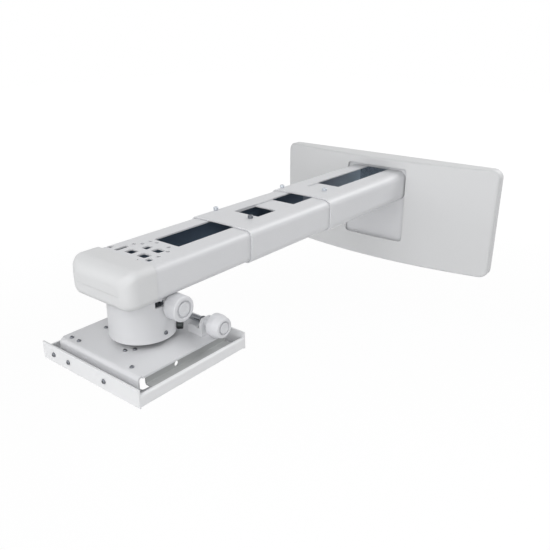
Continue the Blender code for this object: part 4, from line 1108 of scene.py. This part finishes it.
class MOUNT_OT_tubes(bpy.types.Operator):
    """Makes the three sliding tubes with their slots and holes"""

    bl_idname = "mount.tubes"
    bl_label = "Sliding tubes"

    def execute(self, context):
        sizes = context.scene.mount_sizes
        bodies = {"front_tube": "front_arm", "middle_tube": "middle_arm", "wall_tube": "wall_side"}
        for level, (node, body) in enumerate(bodies.items()):
            low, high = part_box(node)
            bm = tube_mesh(
                high.x - low.x,
                high.z - low.z,
                sizes.tube_corner + level * TUBE_STEP,
                sizes.tube_wall,
                -low.y,
                -high.y,
            )
            # The inner skin takes painted shade: darker in the front and middle tubes, paler in the
            # wall tube.
            coat = FINISHES["wall_inside" if node == "wall_tube" else "inside"]
            tube = raw_object(node + "_sheet", bm, [FINISHES["white_satin_paint"], coat])
            near, far = SLOTS[node]
            slot = rounded_rect(SLOT_W, far - near, SLOT_CORNER, (0, -(near + far) / 2), 5)
            cutters = [slab(slot, "z", ARM_Z, high.z + 0.01)]
            if node == "front_tube":
                for x, reach, width, length in BIG_HOLES:
                    outline = rounded_rect(width, length, SLOT_CORNER, (x, HUB_Y - reach), 5)
                    cutters.append(slab(outline, "z", ARM_Z, high.z + 0.01))
            combine(tube, join(*cutters))
            if node == "front_tube":
                places = [Vector((x, HUB_Y - reach, ARM_Z)) for x, reach in SMALL_HOLES]
                combine_with(tube, punches("small_holes", places, SMALL_HOLE_R, 0.0, 0.04))
                floor = low.z - ARM_Z - 0.005
                hub = [Vector((0, HUB_Y, ARM_Z))]
                combine_with(tube, punches("bolt_hole", hub, SWIVEL_BORE_R, floor, 0.0))
            else:
                places = [Vector((LOCK_X, -LOCK_ROWS[node], ARM_Z))]
                places.append(Vector((STOP_X, -STOP_ROWS[node], ARM_Z)))
                combine_with(tube, punches("screw_holes", places, TUBE_SCREW_HOLE_R, 0.0, 0.04))
            complete(tube, sizes.sheet_edge, body, "white_satin_paint", node)
        return {"FINISHED"}


def drawn_in(radius, distance):
    """How far a rounded end of this radius lies inside its box at a distance behind its front."""
    left = max(radius - distance, 0.0)
    return radius - math.sqrt(max(radius**2 - left**2, 0.0))


def cap_section(from_front, inset, width, height):
    """Section of the end cap at a distance behind its front, drawn in by the inset."""
    behind = max(from_front - inset, 0.0)
    side, top, foot = (
        drawn_in(r - inset, behind) for r in (CAP_PLAN_R, CAP_TOP_R, CAP_FOOT_R)
    )
    outline = rounded_rect(
        width - 2 * inset - 2 * side,
        height - 2 * inset - top - foot,
        CAP_SIDE_R - inset,
        (0, ARM_Z + (CAP_TOP_OVER - CAP_FOOT_OVER + foot - top) / 2),
        12,
    )
    return [Vector((x, -CAP_FRONT + from_front, z)) for x, z in outline]


class MOUNT_OT_end_cap(bpy.types.Operator):
    """Makes the moulded end cap with its rounded front and its spigot"""

    bl_idname = "mount.end_cap"
    bl_label = "End cap"

    def execute(self, context):
        sizes = context.scene.mount_sizes
        low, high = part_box("front_tube")
        tube_w, tube_h = high.x - low.x, high.z - low.z
        width = tube_w + 2 * CAP_SIDE_OVER
        height = tube_h + CAP_TOP_OVER + CAP_FOOT_OVER
        length = CAP_FRONT - CAP_BACK
        curved = 22
        reach = max(CAP_PLAN_R, CAP_TOP_R)
        places = [reach * (1 - math.cos(math.radians(90 * k / curved))) for k in range(curved + 1)]
        places.append(length - CAP_EDGE)
        outer = [cap_section(p, 0.0, width, height) for p in places]
        outer.append(cap_section(length - CAP_EDGE / 3, CAP_EDGE / 3, width, height))
        outer.append(cap_section(length, CAP_EDGE, width, height))
        inner = [cap_section(CAP_WALL + p, CAP_WALL, width, height) for p in places[:-1]]

        def spigot(fit, y):
            outline = rounded_rect(
                tube_w - 2 * fit, tube_h - 2 * fit, sizes.tube_corner - fit, (0, ARM_Z), 12
            )
            return [Vector((x, y, z)) for x, z in outline]

        outside = sizes.tube_wall + TOUCH
        inside = outside + SPIGOT_WALL
        seam = -CAP_BACK
        chain = [*inner, spigot(inside, seam + SPIGOT_L), spigot(outside, seam + SPIGOT_L)]
        chain += [spigot(outside, seam), *reversed(outer)]
        cap = raw_object("end_cap_moulding", loft(chain), [FINISHES["white_moulding"]])
        shade(cap, 34.0)
        deliver(cap, "front_arm", "white_moulding", "end_cap")
        return {"FINISHED"}


def about_hub(bm, degrees):
    """Turns a mesh in work about the upright axis and sets it on the swivel's axis."""
    bmesh.ops.rotate(bm, verts=bm.verts, matrix=Matrix.Rotation(math.radians(degrees), 3, "Z"))
    bmesh.ops.translate(bm, verts=bm.verts, vec=(0, HUB_Y, 0))
    return bm


def pin_holes(axis):
    """Cutters for the pin holes of a pair of ears, one on each side of the hub."""
    near, far = PIN_HOLE_REACH
    return [
        bar(PIN_HOLE_R, start, end, axis, (0.0, HUB_Y, GIMBAL_Z))
        for start, end in ((-far, -near), (near, far))
    ]


class MOUNT_OT_swivel_head(bpy.types.Operator):
    """Makes the round swivel head with its ears, bores and window"""

    bl_idname = "mount.swivel_head"
    bl_label = "Swivel head"

    def execute(self, context):
        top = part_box("swivel_head")[1].z
        hollow = HEAD_R - HEAD_WALL
        profile = [
            (BOSS_R, BOSS_FOOT),
            (BOSS_R, top - HEAD_ROOF),
            (hollow, top - HEAD_ROOF),
            (hollow, HEAD_FOOT + 0.0004),
            (hollow + 0.0004, HEAD_FOOT),
        ]
        profile += arc(HEAD_R - HEAD_EDGE, HEAD_FOOT + HEAD_EDGE, HEAD_EDGE, -90, 0, 6)
        profile += arc(HEAD_TOP_R - HEAD_TOP_EDGE, top - HEAD_TOP_EDGE, HEAD_TOP_EDGE, 0, 90, 3)
        profile += [(SWIVEL_BORE_R, top), (SWIVEL_BORE_R, BOSS_FOOT)]
        head = raw_object(
            "swivel_drum",
            turned(profile, centre=(0, HUB_Y, 0), steps=120, ring=True),
            [FINISHES["white_satin_paint"]],
        )
        ears = []
        for side in (-1, 1):
            x0, x1 = sorted((side * EAR_REACH[0], side * EAR_REACH[1]))
            outline = ear_outline(HUB_Y, -EAR_HALF_W, top - HEAD_ROOF / 2, GIMBAL_Z, -EAR_ARCH)
            ears.append(slab(outline, "x", x0, x1))
        combine(head, join(*ears), "UNION")
        reach = HEAD_R + 0.01
        turn, wide, window_low, window_high = WINDOW
        outline = rounded_rect(
            wide, window_high - window_low, WINDOW_CORNER, (0, (window_low + window_high) / 2), 5
        )
        cutters = [
            about_hub(bar(r, hollow - 0.002, reach, "x", (0, 0, z)), angle)
            for angle, z, r in (DRUM_SCREW, SIDE_SCREW)
        ]
        cutters.append(bar(*TILT_BORE, reach, "x", TILT_KNOB, 48))
        cutters += pin_holes("x")
        half, notch_top = HEAD_NOTCH
        back = HUB_Y + hollow - 0.006
        cutters.append(box(-half, half, back, HUB_Y + reach, HEAD_FOOT - 0.004, notch_top))
        cutters.append(about_hub(slab(outline, "x", hollow - 0.008, reach), turn))
        combine(head, join(*cutters))
        complete(head, 0.0005, "swivel", "white_satin_paint", "swivel_head")
        return {"FINISHED"}


def knob_profile(shape):
    """A round knob with a neck, a soft back edge, a rounded front and a ring groove in its face."""
    x0, x1, radius, face_r = shape.back, shape.front, shape.radius, shape.face_r
    neck_r, neck_start = shape.neck_r, shape.neck_start
    edge, back, crisp = 0.0030, 0.0013, 0.0003
    out, into, deep = face_r * 0.68, face_r * 0.53, 0.0030
    profile = [(neck_r - 0.0005, neck_start), (neck_r, neck_start + 0.0005)]
    if neck_start < x0 - 0.002:
        profile += [(neck_r, x0 - 0.0012), (neck_r + 0.0004, x0 - 0.0004), (neck_r + 0.0012, x0)]
    profile += arc(radius - back, x0 + back, back, -90, 0, 5)
    if face_r < radius:
        middle = (x0 + x1) / 2
        lean = math.degrees(math.atan2(radius - face_r, x1 - middle))
        profile += arc(radius - edge, middle - edge * 0.3, edge, 0, lean, 4)
        profile += arc(face_r - edge * 0.8, x1 - edge * 0.8, edge * 0.8, lean, 90, 6)
    else:
        profile += arc(radius - edge, x1 - edge, edge, 0, 90, 8)
    profile += [(out + crisp, x1), (out, x1 - crisp), (out, x1 - deep), (into, x1 - deep)]
    profile += [(into, x1 - crisp), (into - crisp, x1)]
    profile += [(into * 0.55, x1), (into * 0.50, x1 - 0.0004), (into * 0.25, x1 - 0.0006)]
    return profile


class MOUNT_OT_knobs(bpy.types.Operator):
    """Makes the tilt knob and the roll knob"""

    bl_idname = "mount.knobs"
    bl_label = "Knobs"

    def execute(self, context):
        knobs = (
            ("tilt_knob", "tilt_adjuster", TILT_KNOB, TILT_SHAPE),
            ("roll_knob", "roll_adjuster", ROLL_KNOB, ROLL_SHAPE),
        )
        for node, body, at, shape in knobs:
            knob = raw_object(
                node + "_moulding", turned(knob_profile(shape), "x", at, 96),
                [FINISHES["white_knob"]],
            )
            start, end = shape.neck_start - 0.002, shape.front - KNOB_FACE_T
            combine(knob, bar(shape.bore_r, start, end, "x", at))
            shade(knob, 34.0)
            deliver(knob, body, "white_knob", node)
        return {"FINISHED"}


class MOUNT_OT_plate(bpy.types.Operator):
    """Makes the adjuster plate with its ears and lip, and the two guide rails"""

    bl_idname = "mount.plate"
    bl_label = "Adjuster plate"

    def execute(self, context):
        sizes = context.scene.mount_sizes
        paint = FINISHES["white_satin_paint"]
        top, w = PLATE_TOP, PLATE_HALF_W
        flat = PLATE_FRONT - PLATE_BEND
        middle = -(flat + PLATE_BACK) / 2
        outline = rounded_rect(2 * w, flat - PLATE_BACK, PLATE_CORNER, (0, middle), 6)
        window = rounded_rect(*PLATE_WINDOW, (0, HUB_Y), 5)
        plate = raw_object(
            "adjuster_sheet", slab(outline, "z", top - PLATE_T, top, [window]), [paint]
        )
        ear = ear_outline(0.0, EAR_HALF_W, top - PLATE_T, GIMBAL_Z, EAR_ARCH)
        ears = []
        for side in (-1, 1):
            y0, y1 = sorted((HUB_Y + side * EAR_REACH[0], HUB_Y + side * EAR_REACH[1]))
            ears.append(slab(ear, "y", y0, y1))
        combine(plate, join(*ears), "UNION")
        half = PLATE_LIP_T / 2
        face = -PLATE_FRONT + half
        path = [
            (-flat + PLATE_LIP_LAP, top - half),
            (face, top - half),
            (face, top - PLATE_LIP),
        ]
        lip = bent_sheet(path, PLATE_LIP_T, PLATE_BEND - PLATE_LIP_T, 10)
        combine(plate, slab(lip, "x", -w + PLATE_CORNER, w - PLATE_CORNER), "UNION")
        combine(plate, join(*pin_holes("y")))
        complete(plate, sizes.sheet_edge, "plate", "white_satin_paint", "top_plate")
        self.rails()
        return {"FINISHED"}

    def rails(self):
        for side, node in ((-1, "guide_rail_left"), (1, "guide_rail_right")):
            low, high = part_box(node)
            half = RAIL_T / 2
            inner, outer = sorted((abs(low.x), abs(high.x)))
            web = RAIL_WEB - half
            path = [
                (side * inner, high.z - half),
                (side * web, high.z - half),
                (side * web, low.z + half),
                (side * outer, low.z + half),
            ]
            # The rails take the dark copy of the paint, which is painted shade.
            rail = raw_object(
                node + "_sheet",
                slab(bent_sheet(path, RAIL_T, RAIL_BEND), "y", low.y, high.y),
                [FINISHES["rail_paint"]],
            )
            y, z, radius = GUIDE_HOLE
            ends = sorted((side * (web - 0.003), side * (web + 0.003)))
            combine(rail, bar(radius, *ends, "x", (0, y, z), 40))
            complete(rail, RAIL_EDGE, "plate", "white_satin_paint", node)


class MOUNT_OT_tray(bpy.types.Operator):
    """Makes the folded slide tray with its window and fixing holes"""

    bl_idname = "mount.tray"
    bl_label = "Slide tray"

    def execute(self, context):
        sizes = context.scene.mount_sizes
        low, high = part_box("slide_tray")
        w, t, half = high.x, TRAY_T, TRAY_T / 2
        lip_z = TRAY_SIDE_TOP - half
        path = [
            (w - TRAY_LIP, lip_z),
            (w - half, lip_z),
            (w - half, low.z + half),
            (-w + half, low.z + half),
            (-w + half, lip_z),
            (-w + TRAY_LIP, lip_z),
        ]
        # The tray takes the paler copy of the paint, which is painted light.
        tray = raw_object(
            "tray_sheet",
            slab(bent_sheet(path, t, TRAY_BEND), "y", low.y + t, high.y - t),
            [FINISHES["tray_paint"]],
        )
        walls = [
            box(-w, w, low.y, low.y + t + 0.0005, low.z, high.z),
            box(-w, w, high.y - t - 0.0005, high.y, low.z, high.z),
        ]
        combine(tray, join(*walls), "UNION")
        middle = (low.y + high.y) / 2
        length = high.y - low.y
        window = rounded_rect(
            2 * (w - TRAY_FLANGE), length - 2 * TRAY_FLANGE, TRAY_WINDOW_CORNER, (0, middle), 8
        )
        combine(tray, slab(window, "z", low.z - 0.005, low.z + 0.005))
        across, along = w - TRAY_HOLE_INSET[0], length / 2 - TRAY_HOLE_INSET[1]
        places = [
            Vector((sx * across, middle + sy * along, low.z)) for sx in (-1, 1) for sy in (-1, 0, 1)
        ]
        combine_with(tray, punches("tray_holes", places, TRAY_HOLE_R, -0.005, 0.005))
        complete(tray, sizes.sheet_edge, "tray", "white_satin_paint", "slide_tray")
        return {"FINISHED"}


class MOUNT_OT_wall_fixing(bpy.types.Operator):
    """Makes the wall plate and the bracket that holds the wall tube"""

    bl_idname = "mount.wall_fixing"
    bl_label = "Wall plate and bracket"

    def execute(self, context):
        self.wall_plate()
        self.bracket(context.scene.mount_sizes.tube_corner)
        return {"FINISHED"}

    def wall_plate(self):
        low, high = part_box("wall_plate")
        half = WALL_SHEET_T / 2
        path = [
            (low.y, low.z + half),
            (-half, low.z + half),
            (-half, high.z - half),
            (low.y, high.z - half),
        ]
        plate = raw_object(
            "wall_sheet",
            slab(bent_sheet(path, WALL_SHEET_T, WALL_SHEET_BEND), "x", low.x, high.x),
            [FINISHES["zinc_plate"]],
        )
        outlines = [rounded_rect(*CABLE_HOLE, (0, CABLE_HOLE_Z), 8)]
        outlines += [rounded_rect(*WALL_SLOT, (x, 0), 8) for x in WALL_SLOTS]
        combine(plate, join(*(slab(outline, "y", -0.006, 0.003) for outline in outlines)))
        for places, radius in ((WALL_HOLES, WALL_HOLE_R), (BOLT_HOLES, BOLT_HOLE_R)):
            combine(plate, join(*(bar(radius, -0.006, 0.003, "y", (x, 0, z)) for x, z in places)))
        complete(plate, 0.0004, "wall_side", "zinc_plate", "wall_plate")

    def bracket(self, tube_corner):
        low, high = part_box("arm_bracket")
        w, depth, t, flange = BRACKET
        half = t / 2
        foot = high.y - half
        path = [
            (-w - flange, foot),
            (-w + half, foot),
            (-w + half, -depth + half),
            (w - half, -depth + half),
            (w - half, foot),
            (w + flange, foot),
        ]
        bracket = raw_object(
            "bracket_sheet", slab(bent_sheet(path, t, BRACKET_BEND), "z", low.z, high.z),
            [FINISHES["white_satin_paint"]],
        )
        tube_low, tube_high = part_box("wall_tube")
        width = tube_high.x - tube_low.x + 2 * TOUCH
        height = tube_high.z - tube_low.z + 2 * TOUCH
        passage = rounded_rect(width, height, tube_corner + 2 * TUBE_STEP + TOUCH, (0, ARM_Z))
        combine(bracket, slab(passage, "y", -depth - t, -depth + 2 * t))
        holes = [bar(BOLT_HOLE_R, high.y - 2 * t, 0.0, "y", (x, 0, z)) for x, z in BOLT_HOLES]
        combine(bracket, join(*holes))
        complete(bracket, 0.0006, "wall_side", "white_satin_paint", "arm_bracket")


# Node, body and the width of its broken edges
INNER_PIECES = (
    ("swivel_plate", "front_arm", 0.0004),
    ("swivel_nut", "swivel", 0.0004),
    ("tilt_shaft_bush", "swivel", 0.0003),
    ("tilt_shaft", "tilt_adjuster", 0.0003),
    ("gimbal_block", "tilt_block", 0.0005),
    ("tilt_fork", "tilt_block", 0.0003),
    ("roll_lever", "tilt_block", 0.0005),
    ("tilt_pin_left", "tilt_block", 0.0003),
    ("tilt_pin_right", "tilt_block", 0.0003),
    ("roll_pin_front", "tilt_block", 0.0003),
    ("roll_pin_back", "tilt_block", 0.0003),
    ("roll_bearing_block", "plate", 0.0006),
    ("roll_screw_collar", "roll_adjuster", 0.0005),
)


def merged_copy(node, material):
    """A copy of a node's mesh in world space, its triangles joined and its flat faces whole."""
    source = frame["nodes"][node]
    bm = bmesh.new()
    bm.from_mesh(source.data)
    bm.transform(source.matrix_world)
    bmesh.ops.remove_doubles(bm, verts=bm.verts, dist=0.000002)
    bmesh.ops.dissolve_limit(bm, angle_limit=math.radians(0.5), verts=bm.verts, edges=bm.edges)
    return raw_object(node + "_piece", bm, [material])


class MOUNT_OT_mechanism(bpy.types.Operator):
    """Finishes the pieces of the tilt and roll mechanism with broken edges and threads"""

    bl_idname = "mount.mechanism"
    bl_label = "Mechanism"

    def execute(self, context):
        slots = {e["node"]: e["material_slot"] for e in frame["record"]["subparts"]}
        for node, body, edge in INNER_PIECES:
            piece = merged_copy(node, FINISHES[slots[node]])
            complete(piece, edge, body, slots[node], node)
        pitch = context.scene.mount_sizes.thread_pitch
        self.roll_screw(pitch)
        self.swivel_bolt(pitch)
        return {"FINISHED"}

    def roll_screw(self, pitch):
        """A rod: thread in the lever, thicker sleeve up to the collar, plain end in the knob."""
        low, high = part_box("roll_screw")
        length = high.x - low.x
        threaded, thick = ROLL_THREAD_L, ROLL_SLEEVE_R
        sleeve_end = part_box("roll_screw_collar")[0].x - low.x
        core = ROLL_SCREW_R - THREAD_DEPTH * pitch
        profile = [
            (core - 0.0006, 0.0),
            (core, 0.0006),
            (core, threaded),
            (thick - 0.0004, threaded + 0.0006),
            (thick, threaded + 0.0010),
            (thick, sleeve_end),
            (ROLL_SCREW_R, sleeve_end),
            (ROLL_SCREW_R, length - 0.0005),
            (ROLL_SCREW_R - 0.0005, length),
        ]
        rod = raw_object("roll_spindle", turned(profile, steps=40), [FINISHES["bright_steel"]])
        run_tree(
            rod, TREES["thread"], radius=ROLL_SCREW_R, pitch=pitch, length=threaded - 2 * pitch,
            start=pitch, material=FINISHES["bright_steel"],
        )
        lying = Matrix.Rotation(math.pi / 2, 4, "Y")
        rod.data.transform(Matrix.Translation((low.x, ROLL_KNOB.y, ROLL_KNOB.z)) @ lying)
        shade(rod, 50.0)
        deliver(rod, "roll_adjuster", "bright_steel", "roll_screw")

    def swivel_bolt(self, pitch):
        low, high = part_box("swivel_bolt")
        head_r, height = SWIVEL_BOLT_HEAD
        radius, threaded = SWIVEL_BOLT_R, SWIVEL_THREAD_L
        shank = high.z - height - low.z
        core = radius - THREAD_DEPTH * pitch
        head = socket_head(head_r, height, core, shank)
        bore = core - 0.0002
        sleeve = [
            (bore, -shank + threaded),
            (radius, -shank + threaded),
            (radius, 0.0002),
            (bore, 0.0002),
        ]
        combine(head, turned(sleeve, steps=40), "UNION")
        head.data.materials.append(FINISHES["dark_screw"])
        run_tree(
            head, TREES["thread"], radius=radius, pitch=pitch, length=threaded - 2 * pitch,
            start=-shank + pitch, material=FINISHES["dark_screw"],
        )
        head.data.transform(Matrix.Translation((0, HUB_Y, high.z - height)))
        shade(head, 50.0)
        deliver(head, "swivel", "dark_screw", "swivel_bolt")


class MOUNT_OT_screws(bpy.types.Operator):
    """Sets every screw and bolt with its recess, each turned by its own amount"""

    bl_idname = "mount.screws"
    bl_label = "Screws"

    def execute(self, context):
        seed = context.scene.mount_sizes.screw_seed
        small = cross_head(*PLATE_SCREW)
        face = cross_head(*TRAY_SCREW)
        lock = socket_head(*LOCK_SCREW)
        stop = socket_head(*STOP_SCREW)
        bolt = socket_head(*BRACKET_BOLT)
        clamp = socket_head(*CLAMP_SCREW)
        plate_nodes = [f"plate_screw_{n}" for n in range(1, 9)]
        tray_nodes = ["tray_screw_left", "tray_screw_middle", "tray_screw_right"]
        bolt_nodes = [
            f"bracket_bolt_{side}_{place}"
            for side in ("left", "right")
            for place in ("lower", "upper")
        ]
        flat, deep, tall = PLATE_SCREW.height, TRAY_SCREW.height, LOCK_SCREW.height
        sets = (
            ("plate_screws", small, plate_nodes, "z", flat, "plate", "dark_screw"),
            ("tray_screws", face, tray_nodes, "y", deep, "tray", "dark_screw"),
            ("drum_screw", small, ["head_screw"], "x", flat, "swivel", "dark_screw"),
            ("wall_lock", lock, ["wall_tube_lock_screw"], "z", tall, "wall_side", "grey_screw"),
            ("wall_stop", stop, ["wall_tube_stop_screw"], "z", tall, "wall_side", "grey_screw"),
            ("middle_lock", lock, ["middle_tube_lock_screw"], "z", tall, "middle_arm", "grey_screw"),
            # The middle stop screw alone takes the dark finish: painted shade for the shadow it casts
            # beside its head.
            ("middle_stop", stop, ["middle_tube_stop_screw"], "z", tall, "middle_arm", "dark_screw"),
            ("bracket_bolts", bolt, bolt_nodes, "y", BRACKET_BOLT.height, "wall_side", "dark_screw"),
        )
        for offset, (name, prototype, nodes, axis, height, body, finish) in enumerate(sets):
            screw_set(name, prototype, nodes, axis, height, body, seed + offset, finish)
        # The drum's clamp screw takes the near-black finish, which is painted shade under the tilt
        # knob.
        angle = math.radians(SIDE_SCREW[0])
        out = Vector((math.cos(angle), math.sin(angle), 0))
        at = Vector((0, HUB_Y, SIDE_SCREW[1])) + out * (HEAD_R + TOUCH)
        side = repeated(
            "drum_clamp_screw", clamp, [at], out, FINISHES["black_screw"], SIDE_SCREW_TURN, seed
        )
        shade(side, 34.0)
        deliver(side, "swivel", "dark_screw", "drum_side_screw")
        for prototype in (small, face, lock, stop, bolt, clamp):
            bpy.data.objects.remove(prototype)
        return {"FINISHED"}


class MOUNT_OT_finishes(bpy.types.Operator):
    """Makes the finishes and gives each fixed node the finish of its slot"""

    bl_idname = "mount.finishes"
    bl_label = "Finishes"

    def execute(self, context):
        make_finishes(context.scene.mount_colours)
        TREES.update({"repeat": repeat_tree(), "thread": thread_tree(), "bow": bow_tree()})
        for entry in frame["record"]["subparts"]:
            node = frame["nodes"][entry["node"]]
            node.data.materials.clear()
            node.data.materials.append(FINISHES[entry["material_slot"]])
        return {"FINISHED"}


class MOUNT_OT_studio(bpy.types.Operator):
    """Sets the floor, the soft lights, the world and the camera"""

    bl_idname = "mount.studio"
    bl_label = "Studio"

    def execute(self, context):
        studio = context.scene.mount_studio
        build_floor(studio)
        build_lights(studio)
        build_world(studio)
        build_camera(studio)
        context.scene.view_settings.view_transform = "Standard"
        return {"FINISHED"}


def mix_in_white(tree, lit, white, end, strength=1.0):
    """Puts plain white in for what the camera, glass and gloss see, and ends the tree."""
    path = tree.nodes.new("ShaderNodeLightPath")
    seen = math_node(tree, "ADD", (path, "Is Camera Ray"), (path, "Is Glossy Ray"))
    any_seen = math_node(tree, "ADD", (seen, 0), (path, "Is Transmission Ray"))
    any_seen.use_clamp = True
    share = math_node(tree, "MULTIPLY", (any_seen, 0), strength)
    mix = tree.nodes.new("ShaderNodeMixShader")
    link(tree, share, 0, mix, "Fac")
    link(tree, lit, 0, mix, 1)
    link(tree, white, 0, mix, 2)
    link(tree, mix, "Shader", tree.nodes[end], "Surface")


def build_floor(studio):
    """A wide pale floor under the mount, which reads white but keeps a faint shadow near it."""
    half = FLOOR_HALF
    bm = bmesh.new()
    square = ((-half, -half), (half, -half), (half, half), (-half, half))
    bm.faces.new([bm.verts.new((x, y, -studio.floor_drop)) for x, y in square])
    material, tree, shader = new_material("floor_paper")
    set_inputs(shader, {"Base Color": (0.9, 0.9, 0.9, 1), "Roughness": 0.9})
    glow = new_node(
        tree, "ShaderNodeEmission", {"Color": (1, 1, 1, 1), "Strength": FLOOR_GLOW}
    )
    reach = tree.nodes.new("ShaderNodeVectorMath")
    reach.operation = "LENGTH"
    feed_place(tree, reach)
    fade = ranged(tree, reach, "Value", *FLOOR_SHARE, *FLOOR_FADE)
    mix_in_white(tree, shader, glow, "Material Output", (fade, "Result"))
    floor = raw_object("floor", bm, [material])


def build_lights(studio):
    """Three wide soft lights in front, and one behind for the bright edge lines."""
    target = Vector(LIGHTS_AIM)
    for name, (place, side) in LIGHTS.items():
        data = bpy.data.lights.new(name, "AREA")
        data.shape = "SQUARE"
        data.size = side
        data.energy = getattr(studio, name)
        lamp = bpy.data.objects.new(name, data)
        lamp.location = place
        lamp.rotation_euler = (target - Vector(place)).to_track_quat("-Z", "Y").to_euler()
        bpy.context.scene.collection.objects.link(lamp)


def build_world(studio):
    """Even light from all round, with plain white where the background shows."""
    world = bpy.data.worlds.new("studio_air")
    bpy.context.scene.world = world
    world.use_nodes = True
    tree = world.node_tree
    air = tree.nodes["Background"]
    set_inputs(air, {"Color": (0.965, 0.975, 1.0, 1), "Strength": studio.ambient})
    white = new_node(
        tree, "ShaderNodeBackground", {"Color": (1, 1, 1, 1), "Strength": 1.0}
    )
    mix_in_white(tree, air, white, "World Output")


def build_camera(studio):
    """The camera of the photograph: above, in front and to the right of the mount."""
    data = bpy.data.cameras.new("camera")
    data.sensor_width = 36.0
    data.sensor_fit = "HORIZONTAL"
    data.lens = studio.lens
    camera = bpy.data.objects.new("camera", data)
    camera.location = CAMERA_AT
    camera.rotation_euler = (CAMERA_AIM - CAMERA_AT).to_track_quat("-Z", "Y").to_euler()
    bpy.context.scene.collection.objects.link(camera)
    bpy.context.scene.camera = camera


class MOUNT_PT_panel(bpy.types.Panel):
    """Tools and settings of the wall mount"""

    bl_idname = "MOUNT_PT_panel"
    bl_label = "Projector wall mount"
    bl_space_type = "VIEW_3D"
    bl_region_type = "UI"
    bl_category = "Wall Mount"

    def draw(self, context):
        layout = self.layout
        scene = context.scene
        for title, settings in (
            ("Sizes", scene.mount_sizes),
            ("Colours", scene.mount_colours),
            ("Studio", scene.mount_studio),
        ):
            section = layout.box()
            section.label(text=title)
            for name in settings.bl_rna.properties.keys():
                if name not in ("rna_type", "name"):
                    section.prop(settings, name)
        tools = layout.column(align=True)
        for step in STEPS:
            tools.operator(f"mount.{step}")


CLASSES = (
    MountSizes,
    MountColours,
    StudioSettings,
    MOUNT_OT_finishes,
    MOUNT_OT_wall_fixing,
    MOUNT_OT_wall_cover,
    MOUNT_OT_tubes,
    MOUNT_OT_end_cap,
    MOUNT_OT_swivel_head,
    MOUNT_OT_knobs,
    MOUNT_OT_plate,
    MOUNT_OT_tray,
    MOUNT_OT_mechanism,
    MOUNT_OT_screws,
    MOUNT_OT_studio,
    MOUNT_PT_panel,
)
OPERATORS = [cls for cls in CLASSES if issubclass(cls, bpy.types.Operator)]
STEPS = [cls.bl_idname.removeprefix("mount.") for cls in OPERATORS]


def register():
    for cls in CLASSES:
        bpy.utils.register_class(cls)
    bpy.types.Scene.mount_sizes = PointerProperty(type=MountSizes)
    bpy.types.Scene.mount_colours = PointerProperty(type=MountColours)
    bpy.types.Scene.mount_studio = PointerProperty(type=StudioSettings)


def unregister():
    del bpy.types.Scene.mount_studio
    del bpy.types.Scene.mount_colours
    del bpy.types.Scene.mount_sizes
    for cls in reversed(CLASSES):
        bpy.utils.unregister_class(cls)


def main():
    """Registers the tools and runs each of them in order."""
    for obj in list(bpy.data.objects):
        if obj.name in ("Cube", "Light", "Camera"):
            bpy.data.objects.remove(obj)
    register()
    for step in STEPS:
        getattr(bpy.ops.mount, step)()


if __name__ == "__main__":
    main()
